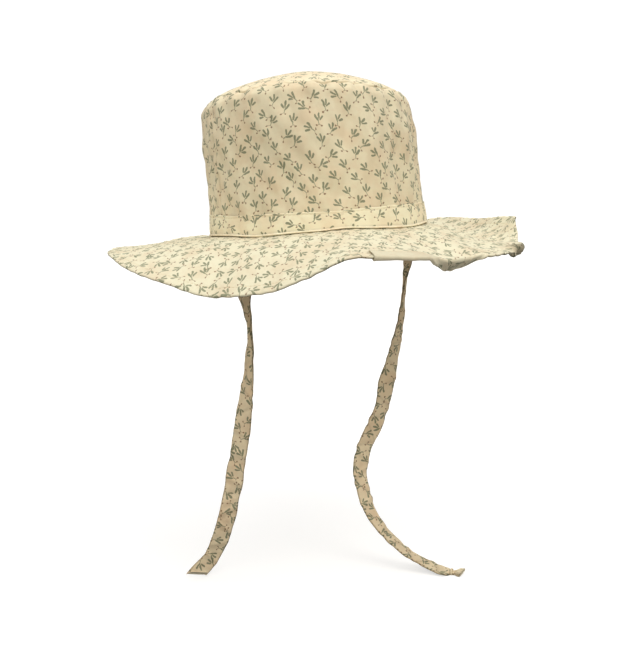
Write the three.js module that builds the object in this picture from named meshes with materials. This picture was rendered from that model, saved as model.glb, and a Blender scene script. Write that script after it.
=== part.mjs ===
// A child's cotton sun hat with a wide wavy brim and two long cloth ties.
// Millimetres, +Z up along the crown's axis. The origin is the centre of the head opening, in the plane of
// the seam between crown and brim. The front of the hat is -Y, and directions are degrees round the axis,
// 0 at the front and 90 at +X.
import * as THREE from "three";

// ---- driving sizes, mm --------------------------------------------------------------------------
const OPENING_R = 76.8; //  inside of the crown at the head opening
const WALL = 1.6; //        crown and brim are two layers of cotton, seamed together
const GAP = 0.35; //        room between pieces that are sewn to each other
const BASE_R = OPENING_R + WALL; // outside of the crown at its base
const SHOULDER_R = 74.4; // outside of the crown where the side starts to round over
const APEX_H = 113.5; //    top of the dome
const DOME_FLAT = 1.34; //  how flat the dome is in its middle
const DOME_ROUND = 1.81; // how round its shoulder is
const SEAM_AT = 0.93; //    where the tip is sewn on, as a share of the shoulder's radius
const LEAN_SIDE = 5.4; //   the crown leans over by this at its shoulder
const LEAN_APEX = 2.4; //   and by this at the middle of the dome
const LEAN_DIR = 238; //    towards this direction
const BAND_H = 15.2; //     the sewn band round the base of the crown
const BAND_T = 1.0;
const BRIM_W = 76.0; //     cut width of the brim, from the seam to its hemmed edge
const LIP_AT = 0.82; //     where a turned-down lip starts, as a share of the brim
const LABEL_FROM = 340; //  the plain label folded over the edge of the brim, left end
const LABEL_TO = 356.67; // and right end
const LABEL_BACK = 0.84; // where it ends on the brim, above and below, as a share of the brim
const LABEL_T = 1.0;
const TIE_W = 12.5; //      a tie is a strip of cotton, folded and sewn flat
const TIE_T = 1.4;

// ---- tables: a row for each section or fold -----------------------------------------------------
const rows = (names, ...lines) =>
  lines.map((line) => Object.fromEntries(names.map((name, i) => [name, line[i]])));

// Crown: height of the shoulder, how far the side bulges at half height, how far the shoulder stands out.
const CROWN = rows(
  ["dir", "shoulder", "bulge", "out"],
  [13, 86.4, 0.6, 1.6],
  [58, 83.6, 0.8, 2.4],
  [103, 87.6, 0.7, 1.4],
  [148, 91.5, 0.3, 0.0],
  [193, 88.6, 0.6, -0.2],
  [238, 86.0, -0.5, -0.6],
  [283, 88.8, 0.5, -0.2],
  [328, 91.8, 0.6, 0.4],
);

// Soft folds in the crown's side: where each is, how far it spreads to both sides (degrees), the part of
// the side's height that it takes up, and how deep it is. A negative depth is a ridge.
const FOLDS = rows(
  ["dir", "spread", "low", "high", "deep"],
  [300, 17, 0.2, 1.0, 1.3],
  [315, 9, 0.08, 0.6, 1.0],
  [326, 10, 0.3, 0.95, -0.8],
  [340, 9, 0.1, 0.42, 0.8],
  [348, 11, 0.5, 1.0, 0.9],
  [2, 9, 0.2, 0.8, -0.7],
  [17, 9, 0.1, 0.9, 0.9],
  [44, 13, 0.2, 1.0, 0.8],
  [96, 15, 0.15, 0.9, 1.0],
  [150, 14, 0.2, 1.0, 0.9],
  [196, 16, 0.1, 0.85, 1.0],
  [262, 12, 0.25, 0.95, 0.7],
);

// Brim: its height a third of the way out, two thirds out and at the edge, how far its lip turns down, and
// how much of its width is taken up by small ripples.
const BRIM = rows(
  ["dir", "inner", "outer", "edge", "lip", "ripples"],
  [246, -1.0, -3.0, -5.0, 0, 0],
  [258, -1.6, -4.2, -8.0, 0, 0],
  [273, -3.0, -8.5, -16.5, 0, 0],
  [288, -4.0, -13.0, -26.5, 0, 0],
  [301, -5.0, -17.0, -35.0, 0, 0],
  [313, -5.0, -17.0, -33.6, 0, 0],
  [325, -4.5, -13.5, -24.2, 0, 0],
  [336, -4.0, -9.8, -15.0, 0, 0],
  [346, -4.5, -11.0, -16.4, 0, 0],
  [353, -5.0, -12.5, -17.8, 0.6, 0],
  [356, -5.4, -13.2, -18.4, 5.4, 0],
  [0, -6.0, -14.0, -19.2, 8.4, 0],
  [4, -6.0, -14.0, -19.6, 6.6, 0],
  [9, -6.0, -14.0, -20.2, 1.4, 0],
  [20, -6.0, -15.0, -21.0, 0.4, 1],
  [29, -7.0, -16.0, -18.8, 4.6, 2],
  [38, -8.0, -16.5, -16.4, 6.4, 3.5],
  [48, -8.5, -17.0, -13.6, 6.4, 4.5],
  [56, -8.5, -16.0, -6.6, 3.0, 4],
  [62, -8.0, -14.0, 0.4, 0, 2],
  [86, -6.0, -10.0, 0.0, 0, 0],
  [106, -2.0, -3.0, 2.0, 0, 0],
  [128, -3.0, -6.0, -7.0, 0, 0],
  [150, -4.0, -9.0, -12.0, 0, 0],
  [170, -3.0, -6.0, -7.0, 0, 0],
  [190, -0.8, -1.4, -0.4, 0, 0],
  [210, -1.2, -3.0, -3.6, 0, 0],
  [230, -1.2, -3.2, -4.4, 0, 0],
);

// Ties: points that the middle of the strip follows, the direction that its width lies in (degrees from
// +X towards +Y), and its width and thickness as shares of the flat strip's.
const TIE_LEFT = rows(
  ["x", "y", "z", "turn", "wide", "thick"],
  [-73.2, -18.2, 8, -76, 1, 1],
  [-73.6, -18.4, -12, -76, 1, 1],
  [-74.8, -18.1, -38, -72, 0.92, 1.2],
  [-74.2, -18.8, -54, -84, 0.5, 1.7],
  [-73.5, -19.2, -66, -100, 0.38, 1.9],
  [-75.0, -18.4, -86, -92, 0.72, 1.3],
  [-78.5, -16.4, -112.5, -66, 0.97, 1],
  [-84.2, -9.4, -152, -46, 1, 1],
  [-89.4, -1.0, -187.6, -32, 1, 1],
  [-93.6, 6.4, -211, -26, 1, 1],
  [-100.0, 15.8, -231, -20, 1, 1],
  [-113.0, 21.4, -242.6, -14, 1, 1],
);
const TIE_RIGHT = rows(
  ["x", "y", "z", "turn", "wide", "thick"],
  [72.6, -18.1, 8, 76, 1, 1],
  [71.8, -17.6, -12, 78, 1, 1],
  [69.2, -16.0, -29.3, 88, 0.9, 1.2],
  [64.5, -15.6, -50.5, 52, 0.68, 1.6],
  [58.8, -16.6, -73.1, 42, 0.76, 1.6],
  [50.2, -17.9, -96.8, 28, 0.96, 1.1],
  [41.4, -19.3, -116.5, 0, 1, 1],
  [34.0, -20.3, -136, 2, 1, 1],
  [25.6, -20.4, -150.9, -8, 1, 1],
  [13.2, -20.2, -170.3, -2, 1, 1],
  [8.9, -22.3, -181.5, 14, 0.86, 1.1],
  [6.6, -29.0, -196, 16, 0.92, 1],
  [6.2, -37.4, -210, 26, 0.94, 1],
  [10.1, -50.4, -223.2, 36, 0.96, 1],
  [14.8, -63.6, -233.6, 40, 1, 1],
  [22.4, -78.2, -241.2, 44, 1, 1],
  [29.6, -92.6, -244.8, 36, 1, 1],
  [32.2, -96.6, -244.9, 30, 0.45, 1.3],
  [36.0, -103.0, -244.9, 24, 0.75, 1.1],
);

// ---- curves through the tables ------------------------------------------------------------------
// A smooth curve round the hat through one column of a table, with no overshoot between its rows.
function around(table, column) {
  const r = [...table].sort((a, b) => a.dir - b.dir);
  const n = r.length;
  const x = r.map((q) => q.dir);
  const y = r.map((q) => q[column]);
  const h = x.map((v, i) => (i < n - 1 ? x[i + 1] - v : x[0] + 360 - v));
  const d = y.map((v, i) => (y[(i + 1) % n] - v) / h[i]);
  const m = y.map((_, i) => {
    const [a, b, ha, hb] = [d[(i + n - 1) % n], d[i], h[(i + n - 1) % n], h[i]];
    if (a * b <= 0) return 0;
    const [wa, wb] = [2 * hb + ha, hb + 2 * ha];
    return (wa + wb) / (wa / a + wb / b);
  });
  return (dir) => {
    const q = x[0] + ((((dir - x[0]) % 360) + 360) % 360);
    let k = 0;
    while (k < n - 1 && x[k + 1] <= q) k++;
    const t = (q - x[k]) / h[k];
    const j = (k + 1) % n;
    return (
      y[k] * (1 + 2 * t) * (1 - t) ** 2 +
      m[k] * h[k] * t * (1 - t) ** 2 +
      y[j] * t * t * (3 - 2 * t) +
      m[j] * h[k] * t * t * (t - 1)
    );
  };
}

const rad = THREE.MathUtils.degToRad;
const outward = (dir) => new THREE.Vector3(Math.sin(rad(dir)), -Math.cos(rad(dir)), 0);
const lean = outward(LEAN_DIR);
const shoulderH = around(CROWN, "shoulder");
const bulge = around(CROWN, "bulge");
const shoulderOut = around(CROWN, "out");
const [brimInner, brimOuter, brimEdge, brimLip, brimRipples] = [
  "inner",
  "outer",
  "edge",
  "lip",
  "ripples",
].map((c) => around(BRIM, c));

// How deep the folds go in one place of the crown's side.
function folded(dir, t) {
  return FOLDS.reduce((sum, f) => {
    const across = (((((dir - f.dir) % 360) + 540) % 360) - 180) / f.spread;
    const up = (t - f.low) / (f.high - f.low);
    if (Math.abs(across) >= 1 || up <= 0 || up >= 1) return sum;
    return sum + f.deep * Math.cos((across * Math.PI) / 2) ** 2 * Math.sin(up * Math.PI) ** 2;
  }, 0);
}

// Outside of the crown's side: t runs from 0 at the base to 1 at the shoulder.
function sidePoint(dir, t) {
  const r =
    BASE_R +
    (SHOULDER_R + shoulderOut(dir) - BASE_R) * t ** 1.3 +
    bulge(dir) * 4 * t * (1 - t) -
    folded(dir, t);
  return outward(dir)
    .multiplyScalar(r)
    .setZ(shoulderH(dir) * t)
    .addScaledVector(lean, LEAN_SIDE * t);
}

// Outside of the dome: s runs from 0 in its middle to 1 at the shoulder.
function domePoint(dir, s) {
  const rise = Math.max(0, 1 - s ** DOME_FLAT) ** (1 / DOME_ROUND);
  const h = shoulderH(dir);
  return outward(dir)
    .multiplyScalar((SHOULDER_R + shoulderOut(dir) * s) * s)
    .setZ(h + (APEX_H - h) * rise)
    .addScaledVector(lean, LEAN_APEX + (LEAN_SIDE - LEAN_APEX) * s);
}

// Height of the brim's top along its width, a curve through the table's three heights, with the lip.
function brimHeight(dir, at) {
  const s = Math.max(0, at);
  const [i, o, e] = [brimInner(dir), brimOuter(dir), brimEdge(dir)];
  const t = Math.max(0, (s - LIP_AT) / (1 - LIP_AT));
  return (
    (27 / 2) * s * (s - 2 / 3) * (s - 1) * i -
    (27 / 2) * s * (s - 1 / 3) * (s - 1) * o +
    (9 / 2) * s * (s - 1 / 3) * (s - 2 / 3) * e -
    brimLip(dir) * (0.5 * t * t * (3 - 2 * t) + 0.5 * t ** 3)
  );
}

// How far out the brim reaches in a direction, so that its cloth keeps its cut width.
const REACH_STEPS = 24;
function brimReach(dir) {
  const z = Array.from({ length: REACH_STEPS + 1 }, (_, i) => brimHeight(dir, i / REACH_STEPS));
  const width = BRIM_W - brimRipples(dir);
  let reach = width;
  for (let turn = 0; turn < 12; turn++) {
    let cloth = 0;
    for (let i = 0; i < REACH_STEPS; i++) cloth += Math.hypot(reach / REACH_STEPS, z[i + 1] - z[i]);
    reach -= cloth - width;
  }
  return reach;
}

// Top of the brim: s runs from 0 at the seam to 1 at the edge, and a little below 0 under the crown.
const brimPoint = (dir, s, reach) =>
  outward(dir)
    .multiplyScalar(BASE_R + reach * s)
    .setZ(brimHeight(dir, s) - GAP);

// ---- solids -------------------------------------------------------------------------------------
function solid(name, points, faces, colour) {
  const g = new THREE.BufferGeometry();
  g.setAttribute("position", new THREE.Float32BufferAttribute(points.flatMap((p) => [p.x, p.y, p.z]), 3));
  g.setIndex(faces.flat());
  g.computeVertexNormals();
  const m = new THREE.MeshStandardMaterial({ color: colour, roughness: 0.9, metalness: 0 });
  const mesh = new THREE.Mesh(g, m);
  mesh.name = name;
  return mesh;
}

// The normals of a grid of points [i][j] that closes on itself along i. They point to the left of i x j.
function gridNormals(grid) {
  const n = grid.length;
  return grid.map((line, i) =>
    line.map((_, j) => {
      const a = grid[(i + 1) % n][j].clone().sub(grid[(i + n - 1) % n][j]);
      const b = line[Math.min(j + 1, line.length - 1)].clone().sub(line[Math.max(j - 1, 0)]);
      return a.cross(b).normalize();
    }),
  );
}

// A wall of cloth that goes all the way round: grid is its outside, wall its thickness towards the inside.
// away lifts the whole wall off the grid. With pole, the lines of the grid meet in their first point.
function ringWall(name, grid, wall, away, colour, pole = false) {
  const n = grid.length;
  const normals = gridNormals(grid);
  if (pole) normals.forEach((line) => line[0].set(0, 0, 1));
  const cols = grid[0].length;
  const points = [];
  const layer = (shift) => {
    const index = [];
    for (let i = 0; i < n; i++) {
      index.push([]);
      for (let j = 0; j < cols; j++) {
        if (pole && j === 0 && i > 0) {
          index[i].push(index[0][0]);
          continue;
        }
        points.push(grid[i][j].clone().addScaledVector(normals[i][j], shift));
        index[i].push(points.length - 1);
      }
    }
    return index;
  };
  const outer = layer(away);
  const inner = layer(away - wall);
  const faces = [];
  const quad = (a, b, c, d) => {
    if (a !== b && b !== c && a !== c) faces.push([a, b, c]);
    if (a !== c && c !== d && a !== d) faces.push([a, c, d]);
  };
  for (let i = 0; i < n; i++) {
    const k = (i + 1) % n;
    for (let j = 0; j < cols - 1; j++) {
      quad(outer[i][j], outer[k][j], outer[k][j + 1], outer[i][j + 1]);
      quad(inner[i][j], inner[i][j + 1], inner[k][j + 1], inner[k][j]);
    }
    if (!pole) quad(outer[i][0], inner[i][0], inner[k][0], outer[k][0]);
    const e = cols - 1;
    quad(outer[i][e], outer[k][e], inner[k][e], inner[i][e]);
  }
  return solid(name, points, faces, colour);
}

// A closed section carried along: sections[i] is the same ring of points at each step, with flat ends.
function swept(name, sections, colour) {
  const m = sections[0].length;
  const points = sections.flat();
  const faces = [];
  for (let i = 0; i < sections.length - 1; i++)
    for (let j = 0; j < m; j++) {
      const [a, b] = [i * m + j, i * m + ((j + 1) % m)];
      faces.push([a, b, b + m], [a, b + m, a + m]);
    }
  const last = (sections.length - 1) * m;
  for (let j = 1; j < m - 1; j++) {
    faces.push([0, j + 1, j]);
    faces.push([last, last + j, last + j + 1]);
  }
  return solid(name, points, faces, colour);
}

const ROUND = 72; //   steps round the crown
const BRIM_ROUND = 108; // steps round the brim
const every = (n, f) => Array.from({ length: n }, (_, i) => f((360 * i) / n));

// The side of the crown: up to the shoulder, then over it to the seam of the tip.
const SIDE_T = [0, 0.2, 0.42, 0.65, 0.87, 1];
const OVER_S = [0.985, 0.955, SEAM_AT + 0.003];
const crownSide = ringWall(
  "crown_side",
  every(ROUND, (d) => [...SIDE_T.map((t) => sidePoint(d, t)), ...OVER_S.map((s) => domePoint(d, s))]),
  WALL,
  0,
  0xd6c6a0,
);

// The tip: the panel that closes the crown.
const TIP_S = [0, 0.2, 0.4, 0.58, 0.74, 0.86, SEAM_AT - 0.004];
const crownTip = ringWall(
  "crown_tip",
  every(ROUND, (d) => TIP_S.map((s) => domePoint(-d, s))),
  WALL,
  0,
  0xf0e4bf,
  true,
);

// The band: a strip of the same cotton round the base of the crown.
const bandT = [0.9, BAND_H * 0.5, BAND_H];
const hatBand = ringWall(
  "hat_band",
  every(ROUND, (d) => bandT.map((z) => sidePoint(d, z / shoulderH(d)))),
  BAND_T,
  GAP + BAND_T,
  0xf0e4bf,
);

// The brim, with its inner edge under the crown.
const BRIM_S = [-WALL / BRIM_W, 0.02, 0.22, 0.44, 0.66, LABEL_BACK, 0.92, 1];
const brimGrid = every(BRIM_ROUND, (d) => {
  const reach = brimReach(-d);
  return BRIM_S.map((s) => brimPoint(-d, s, reach));
});
const brim = ringWall("brim", brimGrid, WALL, 0, 0xf6f0d2);

// The label: a plain strip folded over the edge of the brim, a little clear of its cloth. Its section is a
// U, made of pairs of an outer and an inner point, taken where the brim has its own steps.
const brimNormals = gridNormals(brimGrid);
function labelPairs(i) {
  const side = BRIM_S.flatMap((s, j) => (s < LABEL_BACK ? [] : [{ p: brimGrid[i][j], up: brimNormals[i][j], j }]));
  const tip = side[side.length - 1];
  const out = tip.p.clone().sub(brimGrid[i][tip.j - 1]);
  out.addScaledVector(tip.up, -out.dot(tip.up)).normalize();
  const off = (q, above, beyond = 0) =>
    q.p.clone().addScaledVector(q.up, above).addScaledVector(out, beyond);
  const below = -WALL - GAP;
  const full = GAP + LABEL_T;
  return [
    ...side.slice(0, -1).map((q) => [off(q, full), off(q, GAP)]),
    [off(tip, full, GAP), off(tip, GAP, 0.1)],
    [off(tip, GAP, full), off(tip, 0, GAP)],
    [off(tip, below, full), off(tip, -WALL, GAP)],
    [off(tip, below - LABEL_T, GAP), off(tip, below, 0.1)],
    ...side.slice(0, -1).reverse().map((q) => [off(q, below - LABEL_T), off(q, below)]),
  ];
}

function label(colour) {
  const step = (dir) => Math.round(((360 - dir) * BRIM_ROUND) / 360);
  const steps = step(LABEL_FROM) - step(LABEL_TO);
  const points = [];
  const index = Array.from({ length: steps + 1 }, (_, i) =>
    labelPairs(step(LABEL_FROM) - i).map((pair) => pair.map((p) => points.push(p) - 1)),
  );
  const faces = [];
  const pairs = index[0].length;
  // The diagonals of its faces run the way that the brim's do, above the edge and below it.
  const quad = (a, b, c, d, above) =>
    above ? faces.push([a, b, d], [b, c, d]) : faces.push([a, b, c], [a, c, d]);
  for (let i = 0; i < steps; i++) {
    for (let k = 0; k < pairs - 1; k++) {
      const [a, b, c, d] = [index[i][k], index[i][k + 1], index[i + 1][k + 1], index[i + 1][k]];
      const above = k < pairs / 2 - 1;
      quad(a[0], b[0], c[0], d[0], above);
      quad(a[1], d[1], c[1], b[1], above);
    }
    const [a, b] = [index[i][0], index[i + 1][0]];
    quad(a[1], a[0], b[0], b[1]);
    const [c, d] = [index[i][pairs - 1], index[i + 1][pairs - 1]];
    quad(c[0], c[1], d[1], d[0]);
  }
  for (let k = 0; k < pairs - 1; k++) {
    const [a, b] = [index[0][k], index[0][k + 1]];
    quad(a[0], a[1], b[1], b[0]);
    const [c, d] = [index[steps][k], index[steps][k + 1]];
    quad(c[0], d[0], d[1], c[1]);
  }
  return solid("label", points, faces, colour);
}

// A tie: a flat strip along its table's points.
function tie(name, table, steps, colour) {
  const knots = table.map((q) => new THREE.Vector3(q.x, q.y, q.z));
  const path = new THREE.CatmullRomCurve3(knots, false, "centripetal");
  const sections = [];
  for (let i = 0; i <= steps; i++) {
    const t = i / steps;
    const p = path.getPoint(t);
    const along = path.getTangent(t);
    const k = t * (table.length - 1);
    const [a, b] = [table[Math.floor(k)], table[Math.min(table.length - 1, Math.floor(k) + 1)]];
    const f = k - Math.floor(k);
    const mix = (c) => a[c] + (b[c] - a[c]) * f * f * (3 - 2 * f);
    const turn = rad(mix("turn"));
    const wide = new THREE.Vector3(Math.cos(turn), Math.sin(turn), 0);
    wide.addScaledVector(along, -wide.dot(along)).normalize();
    const thick = along.clone().cross(wide);
    const [w, h] = [(TIE_W * mix("wide")) / 2, (TIE_T * mix("thick")) / 2];
    sections.push(
      [
        [w, -0.4 * h],
        [w, 0.4 * h],
        [0.9 * w, h],
        [-0.9 * w, h],
        [-w, 0.4 * h],
        [-w, -0.4 * h],
        [-0.9 * w, -h],
        [0.9 * w, -h],
      ].map(([u, v]) => p.clone().addScaledVector(wide, u).addScaledVector(thick, v)),
    );
  }
  return swept(name, sections, colour);
}

// ---- the hat ------------------------------------------------------------------------------------
const hat = new THREE.Group();
hat.add(
  crownTip,
  crownSide,
  hatBand,
  brim,
  label(0xf9f0cf),
  tie("tie_left", TIE_LEFT, 31, 0xd3c4ad),
  tie("tie_right", TIE_RIGHT, 38, 0xd3c4ad),
);
export default hat;
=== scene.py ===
# A child's cotton sun hat: crown, band, wide wavy brim, a bare label over its edge, and two cloth ties.
import math
import bpy
import numpy as np
from mathutils import Matrix


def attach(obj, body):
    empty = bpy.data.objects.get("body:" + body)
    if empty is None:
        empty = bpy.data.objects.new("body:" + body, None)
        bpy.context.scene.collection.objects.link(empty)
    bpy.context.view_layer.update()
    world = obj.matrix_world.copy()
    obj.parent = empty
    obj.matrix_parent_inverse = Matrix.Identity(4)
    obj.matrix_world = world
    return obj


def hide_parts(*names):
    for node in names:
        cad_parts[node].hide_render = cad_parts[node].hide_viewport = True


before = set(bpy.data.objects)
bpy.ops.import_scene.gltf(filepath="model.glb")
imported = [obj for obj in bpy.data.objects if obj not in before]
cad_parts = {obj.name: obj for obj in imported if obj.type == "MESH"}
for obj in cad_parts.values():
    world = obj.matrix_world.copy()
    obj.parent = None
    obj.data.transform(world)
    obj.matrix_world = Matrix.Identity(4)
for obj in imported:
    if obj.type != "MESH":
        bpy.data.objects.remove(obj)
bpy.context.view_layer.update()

# ---- sizes, mm, as in the model ------------------------------------------------------------------
OPENING_R, WALL, GAP = 76.8, 1.6, 0.35
BASE_R = OPENING_R + WALL
SHOULDER_R, APEX_H, DOME_FLAT, DOME_ROUND, SEAM_AT = 74.4, 113.5, 1.34, 1.81, 0.93
LEAN_SIDE, LEAN_APEX, LEAN_DIR = 5.4, 2.4, 238
BAND_H, BAND_T = 15.2, 1.0
BRIM_W, LIP_AT = 76.0, 0.82
LABEL_FROM, LABEL_TO, LABEL_BACK = 340, 356.67, 0.84
TIE_W, TIE_T = 12.5, 1.4
FLOOR_Z = -246.6

CROWN = [  # dir, shoulder, bulge, out
    (13, 86.4, 0.6, 1.6), (58, 83.6, 0.8, 2.4), (103, 87.6, 0.7, 1.4), (148, 91.5, 0.3, 0.0),
    (193, 88.6, 0.6, -0.2), (238, 86.0, -0.5, -0.6), (283, 88.8, 0.5, -0.2), (328, 91.8, 0.6, 0.4),
]
FOLDS = [  # dir, spread, low, high, deep
    (300, 17, 0.2, 1.0, 1.3), (315, 9, 0.08, 0.6, 1.0), (326, 10, 0.3, 0.95, -0.8),
    (340, 9, 0.1, 0.42, 0.8), (348, 11, 0.5, 1.0, 0.9), (2, 9, 0.2, 0.8, -0.7),
    (17, 9, 0.1, 0.9, 0.9), (44, 13, 0.2, 1.0, 0.8), (96, 15, 0.15, 0.9, 1.0),
    (150, 14, 0.2, 1.0, 0.9), (196, 16, 0.1, 0.85, 1.0), (262, 12, 0.25, 0.95, 0.7),
]
BRIM = [  # dir, inner, outer, edge, lip, ripples
    (246, -1.0, -3.0, -5.0, 0, 0), (258, -1.6, -4.2, -8.0, 0, 0), (273, -3.0, -8.5, -16.5, 0, 0),
    (288, -4.0, -13.0, -26.5, 0, 0), (301, -5.0, -17.0, -35.0, 0, 0), (313, -5.0, -17.0, -33.6, 0, 0),
    (325, -4.5, -13.5, -24.2, 0, 0), (336, -4.0, -9.8, -15.0, 0, 0), (346, -4.5, -11.0, -16.4, 0, 0),
    (353, -5.0, -12.5, -17.8, 0.6, 0), (356, -5.4, -13.2, -18.4, 5.4, 0), (0, -6.0, -14.0, -19.2, 8.4, 0),
    (4, -6.0, -14.0, -19.6, 6.6, 0), (9, -6.0, -14.0, -20.2, 1.4, 0), (20, -6.0, -15.0, -21.0, 0.4, 1),
    (29, -7.0, -16.0, -18.8, 4.6, 2), (38, -8.0, -16.5, -16.4, 6.4, 3.5), (48, -8.5, -17.0, -13.6, 6.4, 4.5),
    (56, -8.5, -16.0, -6.6, 3.0, 4), (62, -8.0, -14.0, 0.4, 0, 2), (86, -6.0, -10.0, 0.0, 0, 0),
    (106, -2.0, -3.0, 2.0, 0, 0), (128, -3.0, -6.0, -7.0, 0, 0), (150, -4.0, -9.0, -12.0, 0, 0),
    (170, -3.0, -6.0, -7.0, 0, 0), (190, -0.8, -1.4, -0.4, 0, 0), (210, -1.2, -3.0, -3.6, 0, 0),
    (230, -1.2, -3.2, -4.4, 0, 0),
]
CURL = [  # dir, how far the hem rolls under (degrees), cloth that rolls, extra reach, sharp, how much lower (mm)
    (0.2, 121, 9.6, 3.9, 1, 2.2), (2, 125, 11, 4.6, 1, 2.5), (4, 127, 11.9, 5, 1, 2.7), (6, 126, 11.2, 4.6, 1, 2.5),
    (7.8, 124, 9, 3.5, 1, 1.9), (9.5, 116, 5.6, 1.8, 1, 1.1), (11, 84, 3.9, 0.8, 1, 0.5), (12.6, 0, 3.6, 0, 1, 0),
    (20.5, 0, 9, 0, 0, 0), (27.6, 0, 9, 0, 0, 0), (29.6, 110, 10.5, 5, 0, -1.4), (31.6, 235, 14, 10.5, 0, -3.6),
    (33.6, 285, 15.5, 14.4, 0, -4.5), (36, 285, 15.5, 14.4, 0, -4.5), (38.5, 100, 12, 4, 0, -2), (41, 0, 9, -3, 0, 0),
    (49, 0, 9, -2.5, 0, 0), (57, 0, 9, 0, 0, 0), (66, 0, 9, 4.5, 0, 0), (76, 0, 9, 0, 0, 0), (200, 0, 9, 0, 0, 0),
    (354, 0, 3.6, 0, 1, 0.3), (355.6, 70, 4, 0.8, 1, 0.8), (357, 104, 5.7, 1.8, 1, 1.3), (358.6, 116, 7.8, 3, 1, 1.8),
]
BAND_SAG = [  # dir, lower edge, upper edge: how far the band hangs below an even line (mm)
    (247, 0, 0), (262, 0, 0.1), (280, 0.5, 1.6), (297, 2.0, 2.3), (316, 1.1, 2.6), (328, 0.8, 2.9), (341, 0, 3.1),
    (355, 1.2, 2.5), (18, 2.3, 1.8), (31, 1.4, 1.0), (45, 0.3, 0.2), (62, 0, 0), (100, 0.8, 0.9), (140, 0.1, 0.4),
    (180, 0.9, 0.3), (220, 0.2, 0.6),
]
TIE_LEFT = [  # x, y, z, turn, wide, thick
    (-73.2, -18.2, 8, -76, 1, 1), (-73.6, -18.4, -12, -76, 1, 1), (-74.8, -18.1, -38, -63, 1.0, 1.2),
    (-74.2, -18.8, -54, -74, 0.66, 1.7), (-73.5, -19.2, -66, -96, 0.42, 1.9),
    (-75.0, -18.4, -86, -84, 0.8, 1.3), (-78.5, -16.4, -112.5, -66, 0.97, 1),
    (-84.2, -9.4, -152, -46, 1, 1), (-89.4, -1.0, -187.6, -32, 1, 1), (-93.6, 6.4, -211, -26, 1, 1),
    (-99.6, 15.8, -231.4, -20, 1, 1), (-111.6, 21.0, -244.6, -12, 1.06, 1),
]
TIE_RIGHT = [
    (72.6, -18.1, 8, 72, 1, 1), (71.8, -17.6, -12, 72, 1, 1), (69.2, -16.0, -29.3, 84, 1, 1.2),
    (64.7, -15.6, -50.5, 50, 0.68, 1.6), (59.0, -16.6, -73.1, 33, 0.74, 1.6),
    (50.2, -17.9, -96.8, 10, 1, 1.1), (41.4, -19.3, -116.5, -8, 1.04, 1), (34.0, -20.3, -136, -4, 1.02, 1),
    (25.6, -20.4, -150.9, -8, 1.04, 1), (13.2, -20.2, -170.3, -2, 1, 1), (8.9, -22.3, -181.5, 4, 1.0, 1.1),
    (6.6, -29.0, -196, 8, 1.06, 1), (6.2, -37.4, -210, 20, 1.06, 1), (10.1, -50.4, -223.2, 30, 1.06, 1),
    (14.8, -63.6, -233.6, 36, 1.08, 1), (22.4, -78.2, -241.2, 42, 1.08, 1), (29.6, -92.6, -244.8, 36, 1, 1),
    (32.2, -96.6, -244.9, 30, 0.32, 1.3), (35.8, -102.7, -244.9, 24, 0.66, 1.1),
]


# ---- curves and surfaces -------------------------------------------------------------------------
def around(table, col):
    """A smooth curve round the hat through one column of a table, with no overshoot."""
    r = sorted(table)
    x, y = np.array([q[0] for q in r], float), np.array([q[col] for q in r], float)
    n = len(x)
    h = np.append(np.diff(x), x[0] + 360 - x[-1])
    d = (np.roll(y, -1) - y) / h
    m = np.zeros(n)
    for i in range(n):
        a, b, ha, hb = d[i - 1], d[i], h[i - 1], h[i]
        if a * b > 0:
            wa, wb = 2 * hb + ha, hb + 2 * ha
            m[i] = (wa + wb) / (wa / a + wb / b)

    def f(dirs):
        q = x[0] + np.mod(np.asarray(dirs, float) - x[0], 360)
        k = np.clip(np.searchsorted(x, q, side="right") - 1, 0, n - 1)
        t, j = (q - x[k]) / h[k], (k + 1) % n
        return (y[k] * (1 + 2 * t) * (1 - t) ** 2 + m[k] * h[k] * t * (1 - t) ** 2
                + y[j] * t * t * (3 - 2 * t) + m[j] * h[k] * t * t * (t - 1))

    return f


shoulder_h, bulge, shoulder_out = (around(CROWN, c) for c in (1, 2, 3))
brim_inner, brim_outer, brim_edge, brim_lip, brim_ripples = (around(BRIM, c) for c in range(1, 6))
sag_low, sag_high = (around(BAND_SAG, c) for c in (1, 2))
curl, curl_cloth, curl_reach, curl_sharp, curl_low = (around(CURL, c) for c in (1, 2, 3, 4, 5))


def outward(d):
    a = np.radians(d)
    return np.stack([np.sin(a), -np.cos(a), np.zeros_like(a)], -1)


LEAN = outward(np.array(float(LEAN_DIR)))


def gap_deg(d, centre):
    return np.mod(d - centre + 540, 360) - 180


def folded(d, t):
    total = np.zeros(np.broadcast(d, t).shape)
    for centre, spread, low, high, deep in FOLDS:
        across, up = gap_deg(d, centre) / spread, (t - low) / (high - low)
        on = (np.abs(across) < 1) & (up > 0) & (up < 1)
        total += np.where(on, deep * np.cos(across * np.pi / 2) ** 2 * np.sin(up * np.pi) ** 2, 0)
    return total


def side_point(d, t):
    r = (BASE_R + (SHOULDER_R + shoulder_out(d) - BASE_R) * np.maximum(t, 0) ** 1.3
         + bulge(d) * 4 * t * (1 - t) - folded(d, t))
    p = outward(d) * r[..., None]
    p[..., 2] = shoulder_h(d) * t
    return p + LEAN * (LEAN_SIDE * t)[..., None]


def dome_point(d, s):
    rise = np.maximum(0, 1 - s ** DOME_FLAT) ** (1 / DOME_ROUND)
    h = shoulder_h(d)
    p = outward(d) * ((SHOULDER_R + shoulder_out(d) * s) * s)[..., None]
    p[..., 2] = h + (APEX_H - h) * rise
    return p + LEAN * (LEAN_APEX + (LEAN_SIDE - LEAN_APEX) * s)[..., None]


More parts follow.
